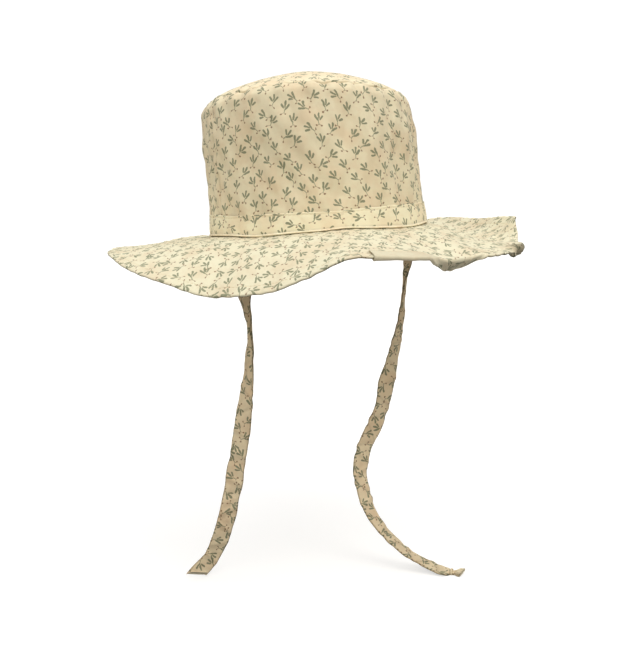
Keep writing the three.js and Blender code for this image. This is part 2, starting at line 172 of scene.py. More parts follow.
def brim_height(d, at, lip=1.0):
    s = np.maximum(0, at)
    i, o, e = brim_inner(d), brim_outer(d), brim_edge(d)
    t = np.maximum(0, (s - LIP_AT) / (1 - LIP_AT))
    return (13.5 * s * (s - 2 / 3) * (s - 1) * i - 13.5 * s * (s - 1 / 3) * (s - 1) * o
            + 4.5 * s * (s - 1 / 3) * (s - 2 / 3) * e
            - lip * brim_lip(d) * (0.5 * t * t * (3 - 2 * t) + 0.5 * t ** 3))


def waves(seed, a, b, terms):
    """Smooth noise, about -1 to 1, periodic in a (radians). terms is rows of (turns low, turns high,
    cycles per unit of b low, high, share)."""
    rng = np.random.default_rng(seed)
    total, power = np.zeros(np.broadcast(a, b).shape), 0.0
    for m0, m1, n0, n1, share in terms:
        for _ in range(7):
            m, n, ph = rng.integers(m0, m1 + 1), rng.uniform(n0, n1), rng.uniform(0, 2 * np.pi)
            total += share * np.cos(m * a + rng.choice((-1, 1)) * 2 * np.pi * n * b + ph)
        power += share ** 2 * 3.5
    return total / math.sqrt(power) / 1.6


def normals(grid, wrap_i=True, wrap_j=False):
    """Unit normals of a grid of points [i, j]: di x dj."""
    if wrap_i:
        a = np.roll(grid, -1, 0) - np.roll(grid, 1, 0)
    else:
        a = np.gradient(grid, axis=0)
    b = np.roll(grid, -1, 1) - np.roll(grid, 1, 1) if wrap_j else np.gradient(grid, axis=1)
    n = np.cross(a, b)
    return n / np.maximum(np.linalg.norm(n, axis=-1, keepdims=True), 1e-12)


# ---- objects -------------------------------------------------------------------------------------
def make_object(name, verts, faces, uvs=None, mats=(), mat_of=None, smooth=True, wear_and_painted_shade=None):
    """verts in mm. faces is a list of index tuples, uvs one row of (u, v) in mm for each face corner."""
    me = bpy.data.meshes.new(name)
    me.from_pydata((np.asarray(verts) / 1000).tolist(), [], [tuple(map(int, f)) for f in faces])
    if uvs is not None:
        layer = me.uv_layers.new(name="cloth")
        layer.data.foreach_set("uv", (np.asarray(uvs, np.float32) / 1000).ravel())
    for m in mats:
        me.materials.append(m)
    if mat_of is not None:
        me.polygons.foreach_set("material_index", np.asarray(mat_of, np.int32))
    me.polygons.foreach_set("use_smooth", np.full(len(me.polygons), smooth))
    if wear_and_painted_shade is not None:  # darker cloth: mostly painted shade in creases, folds, seam grooves, hollows and under the hem, with some darker cloth besides
        me.attributes.new("wear_and_painted_shade", "FLOAT", "POINT").data.foreach_set("value", np.asarray(wear_and_painted_shade, np.float32).ravel())
    me.validate()
    me.update()
    ob = bpy.data.objects.new(name, me)
    bpy.context.scene.collection.objects.link(ob)
    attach(ob, "root")
    return ob


def grid_faces(n, m, wrap_i, wrap_j, offset=0):
    """Quads of a grid, and for each corner its (i, j) before wrapping."""
    i, j = np.meshgrid(np.arange(n if wrap_i else n - 1), np.arange(m if wrap_j else m - 1), indexing="ij")
    ci = np.stack([i, i + 1, i + 1, i], -1).reshape(-1, 4)
    cj = np.stack([j, j, j + 1, j + 1], -1).reshape(-1, 4)
    return (ci % n) * m + (cj % m) + offset, ci, cj


def grid_object(name, grid, uv, wrap_i, wrap_j, mats, mat_of_j=None, flip=False, wear_and_painted_shade=None):
    """grid [n, m, 3]; uv [n+1 or n, m+1 or m, 2] with the extra row or column where it wraps."""
    n, m = grid.shape[:2]
    faces, ci, cj = grid_faces(n, m, wrap_i, wrap_j)
    corner = uv[ci, cj]
    if flip:
        faces, corner = faces[:, ::-1], corner[:, ::-1]
    mat = None if mat_of_j is None else np.asarray(mat_of_j)[cj[:, 0]]
    return make_object(name, grid.reshape(-1, 3), faces, corner.reshape(-1, 2), mats, mat, wear_and_painted_shade=wear_and_painted_shade)


# ---- camera --------------------------------------------------------------------------------------
def unit(v):
    return v / np.linalg.norm(v)


def make_camera(azimuth=-32.0, height=9.5, roll=3.8, aim_z=-77.0, aim_x=-8.7, distance=700.0, focal_px=938.0):
    az, ro = math.radians(azimuth), math.radians(roll)
    at = np.array([distance * math.sin(az), -distance * math.cos(az), height])
    aim = np.array([math.cos(az) * aim_x, math.sin(az) * aim_x, aim_z])
    fw = unit(aim - at)
    r = unit(np.cross(fw, [0, 0, 1]))
    u = np.cross(r, fw)
    r, u = r * math.cos(ro) - u * math.sin(ro), r * math.sin(ro) + u * math.cos(ro)
    data = bpy.data.cameras.new("camera")
    data.sensor_width = 36.0
    data.lens = focal_px * 36.0 / 665.0
    data.clip_start, data.clip_end = 0.01, 100.0
    ob = bpy.data.objects.new("camera", data)
    m = Matrix.Identity(4)
    for k in range(3):
        m[k][0], m[k][1], m[k][2], m[k][3] = r[k], u[k], -fw[k], at[k] / 1000
    ob.matrix_world = m
    bpy.context.scene.collection.objects.link(ob)
    bpy.context.scene.camera = ob


make_camera()


# ---- materials -----------------------------------------------------------------------------------
def srgb(r, g, b):
    return tuple(((c / 255 + 0.055) / 1.055) ** 2.4 if c > 10 else c / 255 / 12.92 for c in (r, g, b)) + (1.0,)


class Nodes:
    """A short way to write node graphs: each call adds one node and returns its output."""

    def __init__(self, tree):
        self.t = tree

    def put(self, kind, ins=(), out=0, **props):
        n = self.t.nodes.new(kind)
        for k, v in props.items():
            setattr(n, k, v)
        items = ins.items() if isinstance(ins, dict) else enumerate(ins)
        for k, v in items:
            if v is None:
                continue
            if isinstance(v, bpy.types.NodeSocket):
                self.t.links.new(v, n.inputs[k])
            else:
                n.inputs[k].default_value = v
        return n.outputs[out]

    def math(self, op, *a, clamp=False):
        return self.put("ShaderNodeMath", a, operation=op, use_clamp=clamp)

    def vec(self, op, *a, out=0):
        ins = {}
        for k, v in enumerate(a):
            ins["Scale" if op == "SCALE" and k == 1 else k] = v
        return self.put("ShaderNodeVectorMath", ins, out=out, operation=op)

    def length(self, a):
        return self.vec("LENGTH", a, out=1)

    def ramp(self, v, a, b, lo=0.0, hi=1.0):
        return self.put("ShaderNodeMapRange", [v, a, b, lo, hi], interpolation_type="SMOOTHSTEP")

    def mix(self, f, a, b):
        n = self.t.nodes.new("ShaderNodeMix")
        n.data_type = "RGBA"
        for k, v in ((0, f), (6, a), (7, b)):
            if isinstance(v, bpy.types.NodeSocket):
                self.t.links.new(v, n.inputs[k])
            else:
                n.inputs[k].default_value = v
        return n.outputs[2]

    def oval(self, p, x, y, turn, a, b, soft=0.25):
        """1 inside an oval with half sizes a, b about (x, y), turned by turn degrees."""
        q = self.put("ShaderNodeMapping", [p, (x, y, 0), (0, 0, math.radians(turn)), (a, b, 1)],
                     vector_type="TEXTURE")
        return self.ramp(self.length(q), 1.0 + soft, 1.0 - soft)

    def bar(self, p, x, y, turn, a, b, soft=0.3):
        """1 inside a bar with round ends, half sizes a, b, that narrows a little to its lower end."""
        q = self.put("ShaderNodeMapping", [p, (x, y, 0), (0, 0, math.radians(turn)), (a, b, 1)],
                     vector_type="TEXTURE")
        s = self.t.nodes.new("ShaderNodeSeparateXYZ")
        self.t.links.new(q, s.inputs[0])
        x2 = self.math("MULTIPLY", s.outputs[0], self.math("MULTIPLY_ADD", s.outputs[1], -0.22, 1.08))
        y2 = self.math("MULTIPLY", s.outputs[1], s.outputs[1])
        total = self.math("MULTIPLY_ADD", x2, x2, self.math("MULTIPLY", y2, y2))
        return self.ramp(total, 1.0 + soft, 1.0 - soft)


def sprig_layer(N, mm, cell, size, shift, seed, swing):
    """One lattice of sprigs, one in each cell, moved and turned by chance. Returns (leaves, stems)."""
    p = N.vec("MULTIPLY_ADD", mm, (1 / cell, 1 / cell, 0), (shift[0], shift[1], seed))
    whole = N.vec("FLOOR", p)
    chance = N.put("ShaderNodeTexWhiteNoise", {"Vector": whole}, out=1, noise_dimensions="3D")
    f = N.vec("SUBTRACT", N.vec("SUBTRACT", p, whole), (0.5, 0.5, 0))
    f = N.vec("ADD", f, N.vec("MULTIPLY", N.vec("SUBTRACT", chance, (0.5, 0.5, 0.5)), (0.24, 0.24, 0)))
    f = N.vec("MULTIPLY", f, (cell / size, cell / size, 0))
    ch = N.t.nodes.new("ShaderNodeSeparateXYZ")
    N.t.links.new(chance, ch.inputs[0])
    angle = N.math("MULTIPLY", N.math("SUBTRACT", ch.outputs[2], 0.5), math.radians(swing))
    q = N.put("ShaderNodeVectorRotate", {"Vector": f, "Angle": angle}, rotation_type="Z_AXIS")
    s = N.t.nodes.new("ShaderNodeSeparateXYZ")
    N.t.links.new(q, s.inputs[0])
    # by chance the sprig is drawn the other way round, and its forked twig leans
    way = N.math("MULTIPLY_ADD", N.math("GREATER_THAN", ch.outputs[0], 0.45), 2.0, -1.0)
    x = N.math("MULTIPLY", s.outputs[0], way)
    m = N.t.nodes.new("ShaderNodeCombineXYZ")
    N.t.links.new(x, m.inputs[0])
    N.t.links.new(s.outputs[1], m.inputs[1])
    one = m.outputs[0]
    leaves = N.math("MAXIMUM", N.bar(one, -1.5, 1.45, 26, 0.74, 2.6),
                    N.math("MAXIMUM", N.bar(one, 0.35, 2.8, -10, 0.74, 2.35), N.bar(one, 1.95, 1.3, -45, 0.72, 1.95)))
    ax = N.math("ABSOLUTE", s.outputs[0])
    ay = N.math("ADD", s.outputs[1], N.math("MULTIPLY", s.outputs[0], N.math("MULTIPLY_ADD", ch.outputs[1], 1.3, -0.65)))
    k = N.t.nodes.new("ShaderNodeCombineXYZ")
    N.t.links.new(ax, k.inputs[0])
    N.t.links.new(ay, k.inputs[1])
    fork = k.outputs[0]
    stalk = N.bar(one, -0.1, -1.55, 4, 0.34, 1.7, 0.5)
    twigs = N.bar(fork, 0.75, -3.35, 62, 0.26, 0.95, 0.5)
    dots = N.oval(fork, 1.6, -3.85, 0, 0.62, 0.58)
    return N.math("MAXIMUM", leaves, N.math("MULTIPLY", stalk, 0.85)), N.math("MAXIMUM", N.math("MULTIPLY", twigs, 0.6), dots)


def lin(r, g, b):
    return (r, g, b, 1.0)


CREAM = lin(0.755, 0.722, 0.54)
SAGE = lin(0.235, 0.25, 0.16)
BERRY = lin(0.19, 0.095, 0.045)


def cotton(name, base, printed=True, swing=150.0, seed=3.0, weave=0.42, crinkle=1.0, cell=14.8, size=0.95):
    """Light plain-weave cotton, with a small leaf sprig print. The print lies on the cloth as it was cut."""
    mat = bpy.data.materials.new(name)
    mat.use_nodes = True
    mat.node_tree.nodes.clear()
    N = Nodes(mat.node_tree)
    uv = N.put("ShaderNodeUVMap", uv_map="cloth")
    mm = N.vec("SCALE", uv, 1000.0)
    blot = N.put("ShaderNodeTexNoise", {"Vector": mm, "Scale": 0.045, "Detail": 3.0, "Roughness": 0.6})
    slub = N.put("ShaderNodeTexNoise", {"Vector": N.vec("MULTIPLY", mm, (0.16, 1.9, 1.0)), "Scale": 1.0, "Detail": 1.0})
    base_dark = tuple(c * k for c, k in zip(base[:3], (0.94, 0.865, 0.83))) + (1.0,)
    blot2 = N.put("ShaderNodeTexNoise", {"Vector": mm, "Scale": 0.16, "Detail": 2.0, "Roughness": 0.5})
    colour = N.mix(N.ramp(blot, 0.4, 0.68), base, base_dark)
    colour = N.mix(N.ramp(blot2, 0.5, 0.75, 0.0, 0.6), colour, base_dark)
    colour = N.mix(N.ramp(slub, 0.55, 0.8, 0.0, 0.4), colour, base_dark)
    if printed:
        warp = N.put("ShaderNodeTexNoise", {"Vector": mm, "Scale": 0.32, "Detail": 1.0}, out=1)
        placed = N.vec("ADD", mm, N.vec("MULTIPLY", N.vec("SUBTRACT", warp, (0.5, 0.5, 0.5)), (1.5, 1.5, 0)))
        l1, s1 = sprig_layer(N, placed, cell, size, (0.13, 0.31), seed, swing)
        l2, s2 = sprig_layer(N, placed, cell, size, (0.63, 0.81), seed + 7.0, swing)
        leaves, stems = N.math("MAXIMUM", l1, l2), N.math("MAXIMUM", s1, s2)
        wear_and_painted_shade = N.put("ShaderNodeTexNoise", {"Vector": mm, "Scale": 1.1, "Detail": 2.0})
        ink = N.ramp(wear_and_painted_shade, 0.2, 0.5, 0.72, 0.95)
        colour = N.mix(N.math("MULTIPLY", stems, 0.85), colour, BERRY)
        colour = N.mix(N.math("MULTIPLY", leaves, ink), colour, SAGE)
    # darken the colour by the mesh's attribute: mostly painted shade in creases, folds and hollows, some darker cloth
    painted_shade_and_wear_fac = N.put("ShaderNodeAttribute", out=2, attribute_name="wear_and_painted_shade")
    colour = N.mix(painted_shade_and_wear_fac, colour, N.vec("MULTIPLY", colour, (0.34, 0.32, 0.27)))
    # threads: two crossing rows, and the soft crinkle of washed cotton
    k = 2 * math.pi / weave
    th = N.vec("SINE", N.vec("MULTIPLY", mm, (k, k, 0)))
    s = N.t.nodes.new("ShaderNodeSeparateXYZ")
    N.t.links.new(th, s.inputs[0])
    cross = N.math("MULTIPLY", s.outputs[0], s.outputs[1])
    crink = N.put("ShaderNodeTexNoise", {"Vector": mm, "Scale": 0.22, "Detail": 4.0, "Roughness": 0.55})
    height = N.math("ADD", N.math("MULTIPLY", cross, 0.035), N.math("MULTIPLY", crink, 0.55 * crinkle))
    bump = N.put("ShaderNodeBump", {"Strength": 0.55, "Distance": 0.001, "Height": height})
    shader = mat.node_tree.nodes.new("ShaderNodeBsdfPrincipled")
    shader.inputs["Roughness"].default_value = 0.88
    shader.inputs["Specular IOR Level"].default_value = 0.22
    shader.inputs["Sheen Weight"].default_value = 0.12
    shader.inputs["Sheen Roughness"].default_value = 0.5
    N.t.links.new(colour, shader.inputs["Base Color"])
    N.t.links.new(bump, shader.inputs["Normal"])
    out = mat.node_tree.nodes.new("ShaderNodeOutputMaterial")
    N.t.links.new(shader.outputs[0], out.inputs[0])
    return mat


PRINT = cotton("printed_cotton", lin(0.81, 0.735, 0.525), swing=130.0)
PRINT_BRIM = cotton("printed_cotton_brim", CREAM, swing=330.0, seed=11.0, crinkle=1.5, cell=13.4)
# the ties' print gets a lighter base than the crown's: painted light, making up for the light they lack beneath the
# brim
PRINT_TIE_LIT = cotton("printed_cotton_tie", lin(0.88, 0.755, 0.53), swing=320.0, seed=23.0, crinkle=2.0, cell=12.8)
# the band's print gets a lighter base: painted light standing in for light thrown up from the brim
PRINT_BAND_LIT = cotton("printed_cotton_band", lin(0.905, 0.85, 0.62), swing=220.0, seed=31.0)
PLAIN = cotton("plain_cotton", lin(0.82, 0.755, 0.56), printed=False)
# a lighter copy of the plain cotton: painted light on the band's lower roll, the ties' end faces and the right tie's
# pleated tail
PLAIN_LIT = cotton("plain_edge", lin(0.93, 0.86, 0.64), printed=False)
LABEL = cotton("label_tape", lin(0.655, 0.61, 0.45), printed=False, weave=0.6, crinkle=0.5)


def thread_material():
    mat = bpy.data.materials.new("sewing_thread")
    mat.use_nodes = True
    mat.node_tree.nodes.clear()
    N = Nodes(mat.node_tree)
    uv = N.put("ShaderNodeUVMap", uv_map="cloth")
    tone = N.put("ShaderNodeTexNoise", {"Vector": N.vec("SCALE", uv, 1000.0), "Scale": 0.5})
    twist = N.put("ShaderNodeTexWave", {"Vector": N.vec("SCALE", uv, 1000.0), "Scale": 1.4}, out=1)
    colour = N.mix(N.ramp(tone, 0.3, 0.7), srgb(238, 224, 192), srgb(222, 205, 170))
    bump = N.put("ShaderNodeBump", {"Strength": 0.4, "Distance": 0.0001, "Height": twist})
    shader = mat.node_tree.nodes.new("ShaderNodeBsdfPrincipled")
    shader.inputs["Roughness"].default_value = 0.6
    shader.inputs["Sheen Weight"].default_value = 0.15
    N.t.links.new(colour, shader.inputs["Base Color"])
    N.t.links.new(bump, shader.inputs["Normal"])
    out = mat.node_tree.nodes.new("ShaderNodeOutputMaterial")
    N.t.links.new(shader.outputs[0], out.inputs[0])
    return mat


THREAD = thread_material()


# ---- ties, the hat's free cords ------------------------------------------------------------------
def smooth_path(points, ts):
    """Centripetal curve through points at ts, 0 to len - 1, as in the model."""
    p = np.asarray(points, float)
    p = np.vstack([2 * p[0] - p[1], p, 2 * p[-1] - p[-2]])
    out = []
    for t in ts:
        k = min(int(t), len(points) - 2)
        w = t - k
        x0, x1, x2, x3 = p[k], p[k + 1], p[k + 2], p[k + 3]
        d0, d1, d2 = (math.sqrt(np.linalg.norm(b - a)) for a, b in ((x0, x1), (x1, x2), (x2, x3)))
        t1 = ((x1 - x0) / d0 - (x2 - x0) / (d0 + d1) + (x2 - x1) / d1) * d1
        t2 = ((x2 - x1) / d1 - (x3 - x1) / (d1 + d2) + (x3 - x2) / d2) * d1
        out.append(x1 + t1 * w + (-3 * x1 + 3 * x2 - 2 * t1 - t2) * w * w + (2 * x1 - 2 * x2 + t1 + t2) * w ** 3)
    return np.array(out)


def resample(path, n):
    step = np.r_[0, np.cumsum(np.linalg.norm(np.diff(path, axis=0), axis=1))]
    at = np.linspace(0, step[-1], n)
    return np.stack([np.interp(at, step, path[:, k]) for k in range(3)], -1), at, step


def tie_frames(table, n):
    fine = np.linspace(0, len(table) - 1, 1200)
    path, at, step = resample(smooth_path([q[:3] for q in table], fine), n)
    knots = np.interp(at, step, fine)

    def column(c):
        k = np.clip(knots.astype(int), 0, len(table) - 2)
        f = knots - k
        f = f * f * (3 - 2 * f)
        y = np.array([q[c] for q in table], float)
        return y[k] + (y[k + 1] - y[k]) * f

    along = np.gradient(path, axis=0)
    along /= np.linalg.norm(along, axis=1, keepdims=True)
    turn = np.radians(column(3))
    wide = np.stack([np.cos(turn), np.sin(turn), 0 * turn], -1)
    wide -= along * (wide * along).sum(1, keepdims=True)
    wide /= np.linalg.norm(wide, axis=1, keepdims=True)
    return path, at, along, wide, np.cross(along, wide), column(4), column(5)


CREASES_LEFT = [  # at (mm from the top), width (mm), deep (mm), slant (mm across the strip)
    (22, 2.4, 0.5, 3), (47, 2.2, 0.6, -4), (74, 2.0, 0.7, 5), (96, 2.6, 0.6, -3), (117, 1.8, 0.8, 4), (131, 2.4, -0.6, -5),
    (148, 1.8, 0.9, 2), (163, 2.0, 1.1, 1), (169, 2.2, -0.9, 1.5), (184, 2.0, 1.1, 2), (193, 3.4, -0.8, -2),
    (207, 2.2, 0.8, -4), (221, 2.0, 0.9, 3), (236, 2.6, 0.7, -3), (249, 2.0, 0.8, 2),
]
CREASES_RIGHT = [
    (26, 2.2, 0.6, 4), (46, 2.0, 0.8, -4), (62, 2.2, 0.9, 3), (74, 1.8, -0.9, -3), (88, 2.2, 1.0, 5), (101, 2.0, 0.9, -4),
    (118, 2.4, -0.8, 3), (133, 1.9, 1.0, -5), (147, 2.0, 0.9, 4), (160, 2.4, -1.0, -3), (173, 1.8, 1.2, 5),
    (182, 1.8, -1.0, -4), (193, 2.0, 1.1, 3), (205, 1.8, 1.0, -5), (216, 2.0, -0.9, 4), (228, 1.8, 1.1, -3),
    (240, 2.2, 0.9, 5), (252, 1.9, 1.0, -4), (265, 2.2, -0.9, 3), (277, 1.9, 1.0, -4), (290, 2.0, 0.9, 4), (300, 2.0, -0.8, -3),
]


def make_tie(name, table, seed, cut=0.0, mats=(), creases=(), mouth=0.0, tail=0.0, tone=(), marks=()):
    """A folded strip: flat and soft where it is free, gathered into pleats where it is pinched. mouth is how far the
    front layer stands back at an open end, tail how long the pleated fan past a pinch is, mm."""
    n, half = 260, 26
    path, at, along, wide, thick, share, _ = tie_frames(table, n)
    u = np.linspace(-1, 1, half)
    up = 0.5 * TIE_T * np.clip(1 - np.abs(u) ** 9, 0, 1) ** 0.5
    U = np.r_[u, u[::-1]]
    H = np.r_[up, -up[::-1]]
    # soft buckles across the strip, and pleats where it is narrow
    a = at[:, None] / at[-1]
    buckle = waves(seed, np.pi * u[None] * 0.35, a, [(0, 1, 2.0, 6.0, 1.0), (1, 2, 5.0, 12.0, 0.5)])
    pleat_n = 1.55
    room = share * TIE_W
    amp = room / (np.pi * pleat_n) * np.sqrt(np.clip(1 / share - 1, 0, None)) * 0.7
    pleat = amp[:, None] * np.sin(2 * np.pi * pleat_n * (u[None] * 0.5) + 0.9 + 1.2 * np.sin(7 * a))
    crease, fold_shade_and_spot = 0 * pleat, 0 * pleat
    for c_at, c_wide, c_deep, c_slant in creases:
        line = (at[:, None] - c_at - c_slant * u[None] * share[:, None]) / c_wide
        crease += c_deep * (np.exp(-line ** 2) - 0.5 * np.exp(-((np.abs(line) - 2.0) / 1.1) ** 2))
        # painted shade along each crease's valley
        fold_shade_and_spot += 0.22 * np.exp(-(line / 0.6) ** 2)
    room_for = np.clip((share[:, None] - 0.55) / 0.4, 0, 1)
    calm = 1 - 0.45 * np.clip((at[:, None] - 215) / 40, 0, 1) if tail else 1.0
    fold_shade_and_spot *= room_for
    mid = 0.5 * buckle + pleat + 0.62 * crease * room_for * calm
    if tail:
        fan = np.clip((at[:, None] - at[-1] + tail) / 3.0, 0, 1)
        mid = mid * (1 - fan) + fan * 1.5 * np.sin(2 * np.pi * 2.6 * (u[None] * 0.5) + 0.8)
        # painted shade in the valleys of the pleated fan
        fold_shade_and_spot = fold_shade_and_spot * (1 - fan) + 0.95 * fan * (0.5 - 0.5 * np.sin(2 * np.pi * 2.6 * (u[None] * 0.5) + 0.8)) ** 1.3
    mid = np.concatenate([mid, mid[:, ::-1]], 1)
    side_wander = 0.25 * waves(seed + 5, 0 * a, a, [(0, 0, 6, 14, 1.0)])
    w = 0.5 * room[:, None] * (1 + 0.03 * waves(seed + 9, 0 * a, a, [(0, 0, 4, 11, 1.0)]))
    flat = U[None] * w + side_wander
    # the seam along one edge, where the strip is turned in and sewn
    ridge = 0.16 * np.exp(-((U[None] - 0.80) / 0.05) ** 2) * np.sign(H)[None]
    h = H[None] * (1 + 0.06 * waves(seed + 2, 0 * a, a, [(0, 0, 8, 20, 1.0)])) + ridge
    # one end may be cut slanted
    slant = np.clip((a - 0.9) / 0.1, 0, 1) ** 2 * cut * U[None]
    if tail:
        slant = slant + 1.1 * np.clip((at[:, None] - at[-1] + tail) / tail, 0, 1) * np.sin(2 * np.pi * 2.6 * (U[None] * 0.5) + 0.8)
    if mouth:
        last = np.clip((at[:, None] - at[-1] + 14) / 14, 0, 1)
        slant = slant - mouth * last * np.clip(H[None] / (0.5 * TIE_T), 0, 1)
        h = h * (1 + 0.9 * np.clip((at[:, None] - at[-1] + 5) / 5, 0, 1) ** 2)
    grid = (path[:, None] + wide[:, None] * flat[..., None] + thick[:, None] * (mid + h)[..., None]
            + along[:, None] * slant[..., None])
    m = grid.shape[1]
    v = np.repeat(at[:, None], m + 1, 1) + np.concatenate([slant, slant[:, :1]], 1)
    uu = np.r_[u * TIE_W / 2, TIE_W + 2 - u[::-1] * TIE_W / 2, 1.5 * TIE_W + 2]
    uv = np.stack([np.repeat(uu[None], n, 0) + seed * 37.0, v], -1)
    faces, ci, cj = grid_faces(n, m, False, True)
    corner = uv[ci, cj].reshape(-1, 2)
    faces = [tuple(f) for f in faces]
    ends, side = [tuple(range(m))[::-1]], [uv[0, :m][::-1]]
    for q in range(half - 1):
        r0 = (n - 1) * m
        ends.append((r0 + q, r0 + q + 1, r0 + m - 2 - q, r0 + m - 1 - q))
        side.append(np.array([(q, 0), (q + 1, 0), (q + 1, 3), (q, 3)], float) * 0.45)
    corner = np.vstack([corner] + side)
    wear_and_painted_shade = np.zeros((n, m))
    # painted shade along both folded edges of the strip
    edge = np.clip((np.abs(u) - 0.86) / 0.08, 0, 1)
    # painted shade along the strip, set by tone: the left tie darker at its top under the brim, both darker towards
    # their lower ends
    painted_shade_along = np.interp(at, [q[0] for q in tone], [q[1] for q in tone])
    for m_at, m_u, m_long, m_deep in marks:
        fold_shade_and_spot = fold_shade_and_spot + m_deep * np.exp(-((at[:, None] - m_at) / m_long) ** 2 - ((u[None] - m_u) / 0.16) ** 2)
    wear_and_painted_shade[:, :half] = fold_shade_and_spot + 0.74 * edge[None] + painted_shade_along[:, None]
    wear_and_painted_shade[:, half:] = (fold_shade_and_spot + 0.74 * edge[None] + painted_shade_along[:, None])[:, ::-1]
    wear_and_painted_shade[-1] *= 0.3 if mouth else 1.0
    mat = np.r_[np.zeros(len(faces) + 1), np.ones(half - 1)]
    if tail:
        mat[:len(faces)][at[ci[:, 0]] > at[-1] - 0.78 * tail] = 1
    ob = make_object(name, grid.reshape(-1, 3), faces + ends, corner, mats, mat, wear_and_painted_shade=np.clip(wear_and_painted_shade, 0, 0.85))
    return ob, path, at, along, wide, thick, flat, mid, h, share


def stitches(name, points, ups, length=2.3, pitch=3.1, radius=0.2, mat=None, proud=0.1, start=0.0):
    """Separate stitches of sewing thread along a line of points."""
    points, ups = np.asarray(points), np.asarray(ups)
    step = np.r_[0, np.cumsum(np.linalg.norm(np.diff(points, axis=0), axis=1))]
    count = int((step[-1] - start - length) / pitch)
    verts, faces, uvs = [], [], []
    prof = [(0.0, 0.25, -0.6), (0.12, 0.8, 0.2), (0.5, 1.0, 1.0), (0.88, 0.8, 0.2), (1.0, 0.25, -0.6)]
    for k in range(count):
        s0 = start + k * pitch
        base = len(verts)
        for f, fat, rise in prof:
            s = s0 + f * length
            p = np.array([np.interp(s, step, points[:, c]) for c in range(3)])
            q = np.array([np.interp(s + 0.4, step, points[:, c]) for c in range(3)])
            upv = np.array([np.interp(s, step, ups[:, c]) for c in range(3)])
            upv /= max(np.linalg.norm(upv), 1e-9)
            al = q - p
            al /= max(np.linalg.norm(al), 1e-9)
            sd = np.cross(al, upv)
            for e in range(6):
                an = 2 * math.pi * e / 6
                verts.append(p + upv * (proud * rise + 0.8 * radius * fat * math.sin(an)) + sd * radius * fat * math.cos(an))
        for i in range(4):
            for e in range(6):
                a, b = base + i * 6 + e, base + i * 6 + (e + 1) % 6
                faces.append((a, b, b + 6, a + 6))
                uvs += [(s0, e), (s0, e + 1), (s0 + 1, e + 1), (s0 + 1, e)]
        faces.append(tuple(base + e for e in range(6))[::-1])
        faces.append(tuple(base + 24 + e for e in range(6)))
        uvs += [(s0, 0)] * 12
    return make_object(name, verts, faces, uvs, [mat or THREAD])


def tie_stitches(name, made, at_u, seed):
    ob, path, at, along, wide, thick, flat, mid, h, share = made
    half = flat.shape[1] // 2
    k = int(round((at_u + 1) / 2 * (half - 1)))
    p = path + wide * flat[:, k:k + 1] + thick * (mid + h)[:, k:k + 1]
    keep = slice(2, -4)
    st = stitches(name, p[keep], thick[keep], length=1.9, pitch=2.7, radius=0.17, proud=0.05)
    return st


# tone is painted shade along each tie: darker under the brim and towards the lower ends
left = make_tie("tie_left_cloth", TIE_LEFT, 4, cut=-4.0, mats=[PRINT_TIE_LIT, PLAIN_LIT], creases=CREASES_LEFT, mouth=3.8,
                tone=((0, 0.36), (30, 0.34), (70, 0.2), (140, 0.12), (200, 0.05), (230, 0.1), (270, 0.16)))
right = make_tie("tie_right_cloth", TIE_RIGHT, 8, mats=[PRINT_TIE_LIT, PLAIN_LIT], creases=CREASES_RIGHT, tail=6.0,
                 tone=((0, 0.02), (60, 0), (190, 0.02), (225, 0.1), (262, 0.34), (303, 0.44), (309, 0.3), (322, 0.16)),
                 marks=((290, 0.8, 3.2, 0.9),))
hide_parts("tie_left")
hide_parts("tie_right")
sew_left = tie_stitches("tie_left_stitches", left, 0.72, 1)
sew_right = tie_stitches("tie_right_stitches", right, 0.72, 2)


def thread_wrap(name, made, turns=3, pitch=0.45, radius=0.2):
    """Sewing thread wound round the tie where it is pinched."""
    ob, path, at, along, wide, thick, flat, mid, h, share = made
    k = len(at) - 40 + int(np.argmin(share[-40:]))
    ra, rb = np.abs(flat[k]).max() + 0.25, np.abs(mid[k] + h[k]).max() + 0.25
    n, e = 26 * turns, 6
    t = np.linspace(0, 2 * np.pi * turns, n)
    ring = (path[k] + wide[k] * (ra * np.cos(t))[:, None] + thick[k] * (rb * np.sin(t))[:, None]
            + along[k] * (pitch * (t / (2 * np.pi) - turns / 2))[:, None])
    go = np.gradient(ring, axis=0)
    go /= np.linalg.norm(go, axis=1, keepdims=True)
    s1 = np.cross(go, along[k])
    s1 /= np.linalg.norm(s1, axis=1, keepdims=True)
    s2 = np.cross(go, s1)
    a = np.arange(e) * 2 * np.pi / e
    tube = ring[:, None] + radius * (s1[:, None] * np.cos(a)[None, :, None] + s2[:, None] * np.sin(a)[None, :, None])
    faces, ci, cj = grid_faces(n, e, False, True)
    uv = np.stack([t[ci] * 3, cj * 0.2], -1).reshape(-1, 2)
    ends = [tuple(range(e))[::-1], tuple((n - 1) * e + q for q in range(e))]
    wrap = make_object(name, tube.reshape(-1, 3), [tuple(f) for f in faces] + ends, np.vstack([uv, np.zeros((2 * e, 2))]), [THREAD])
    return wrap


wrap_right = thread_wrap("tie_right_thread", right)


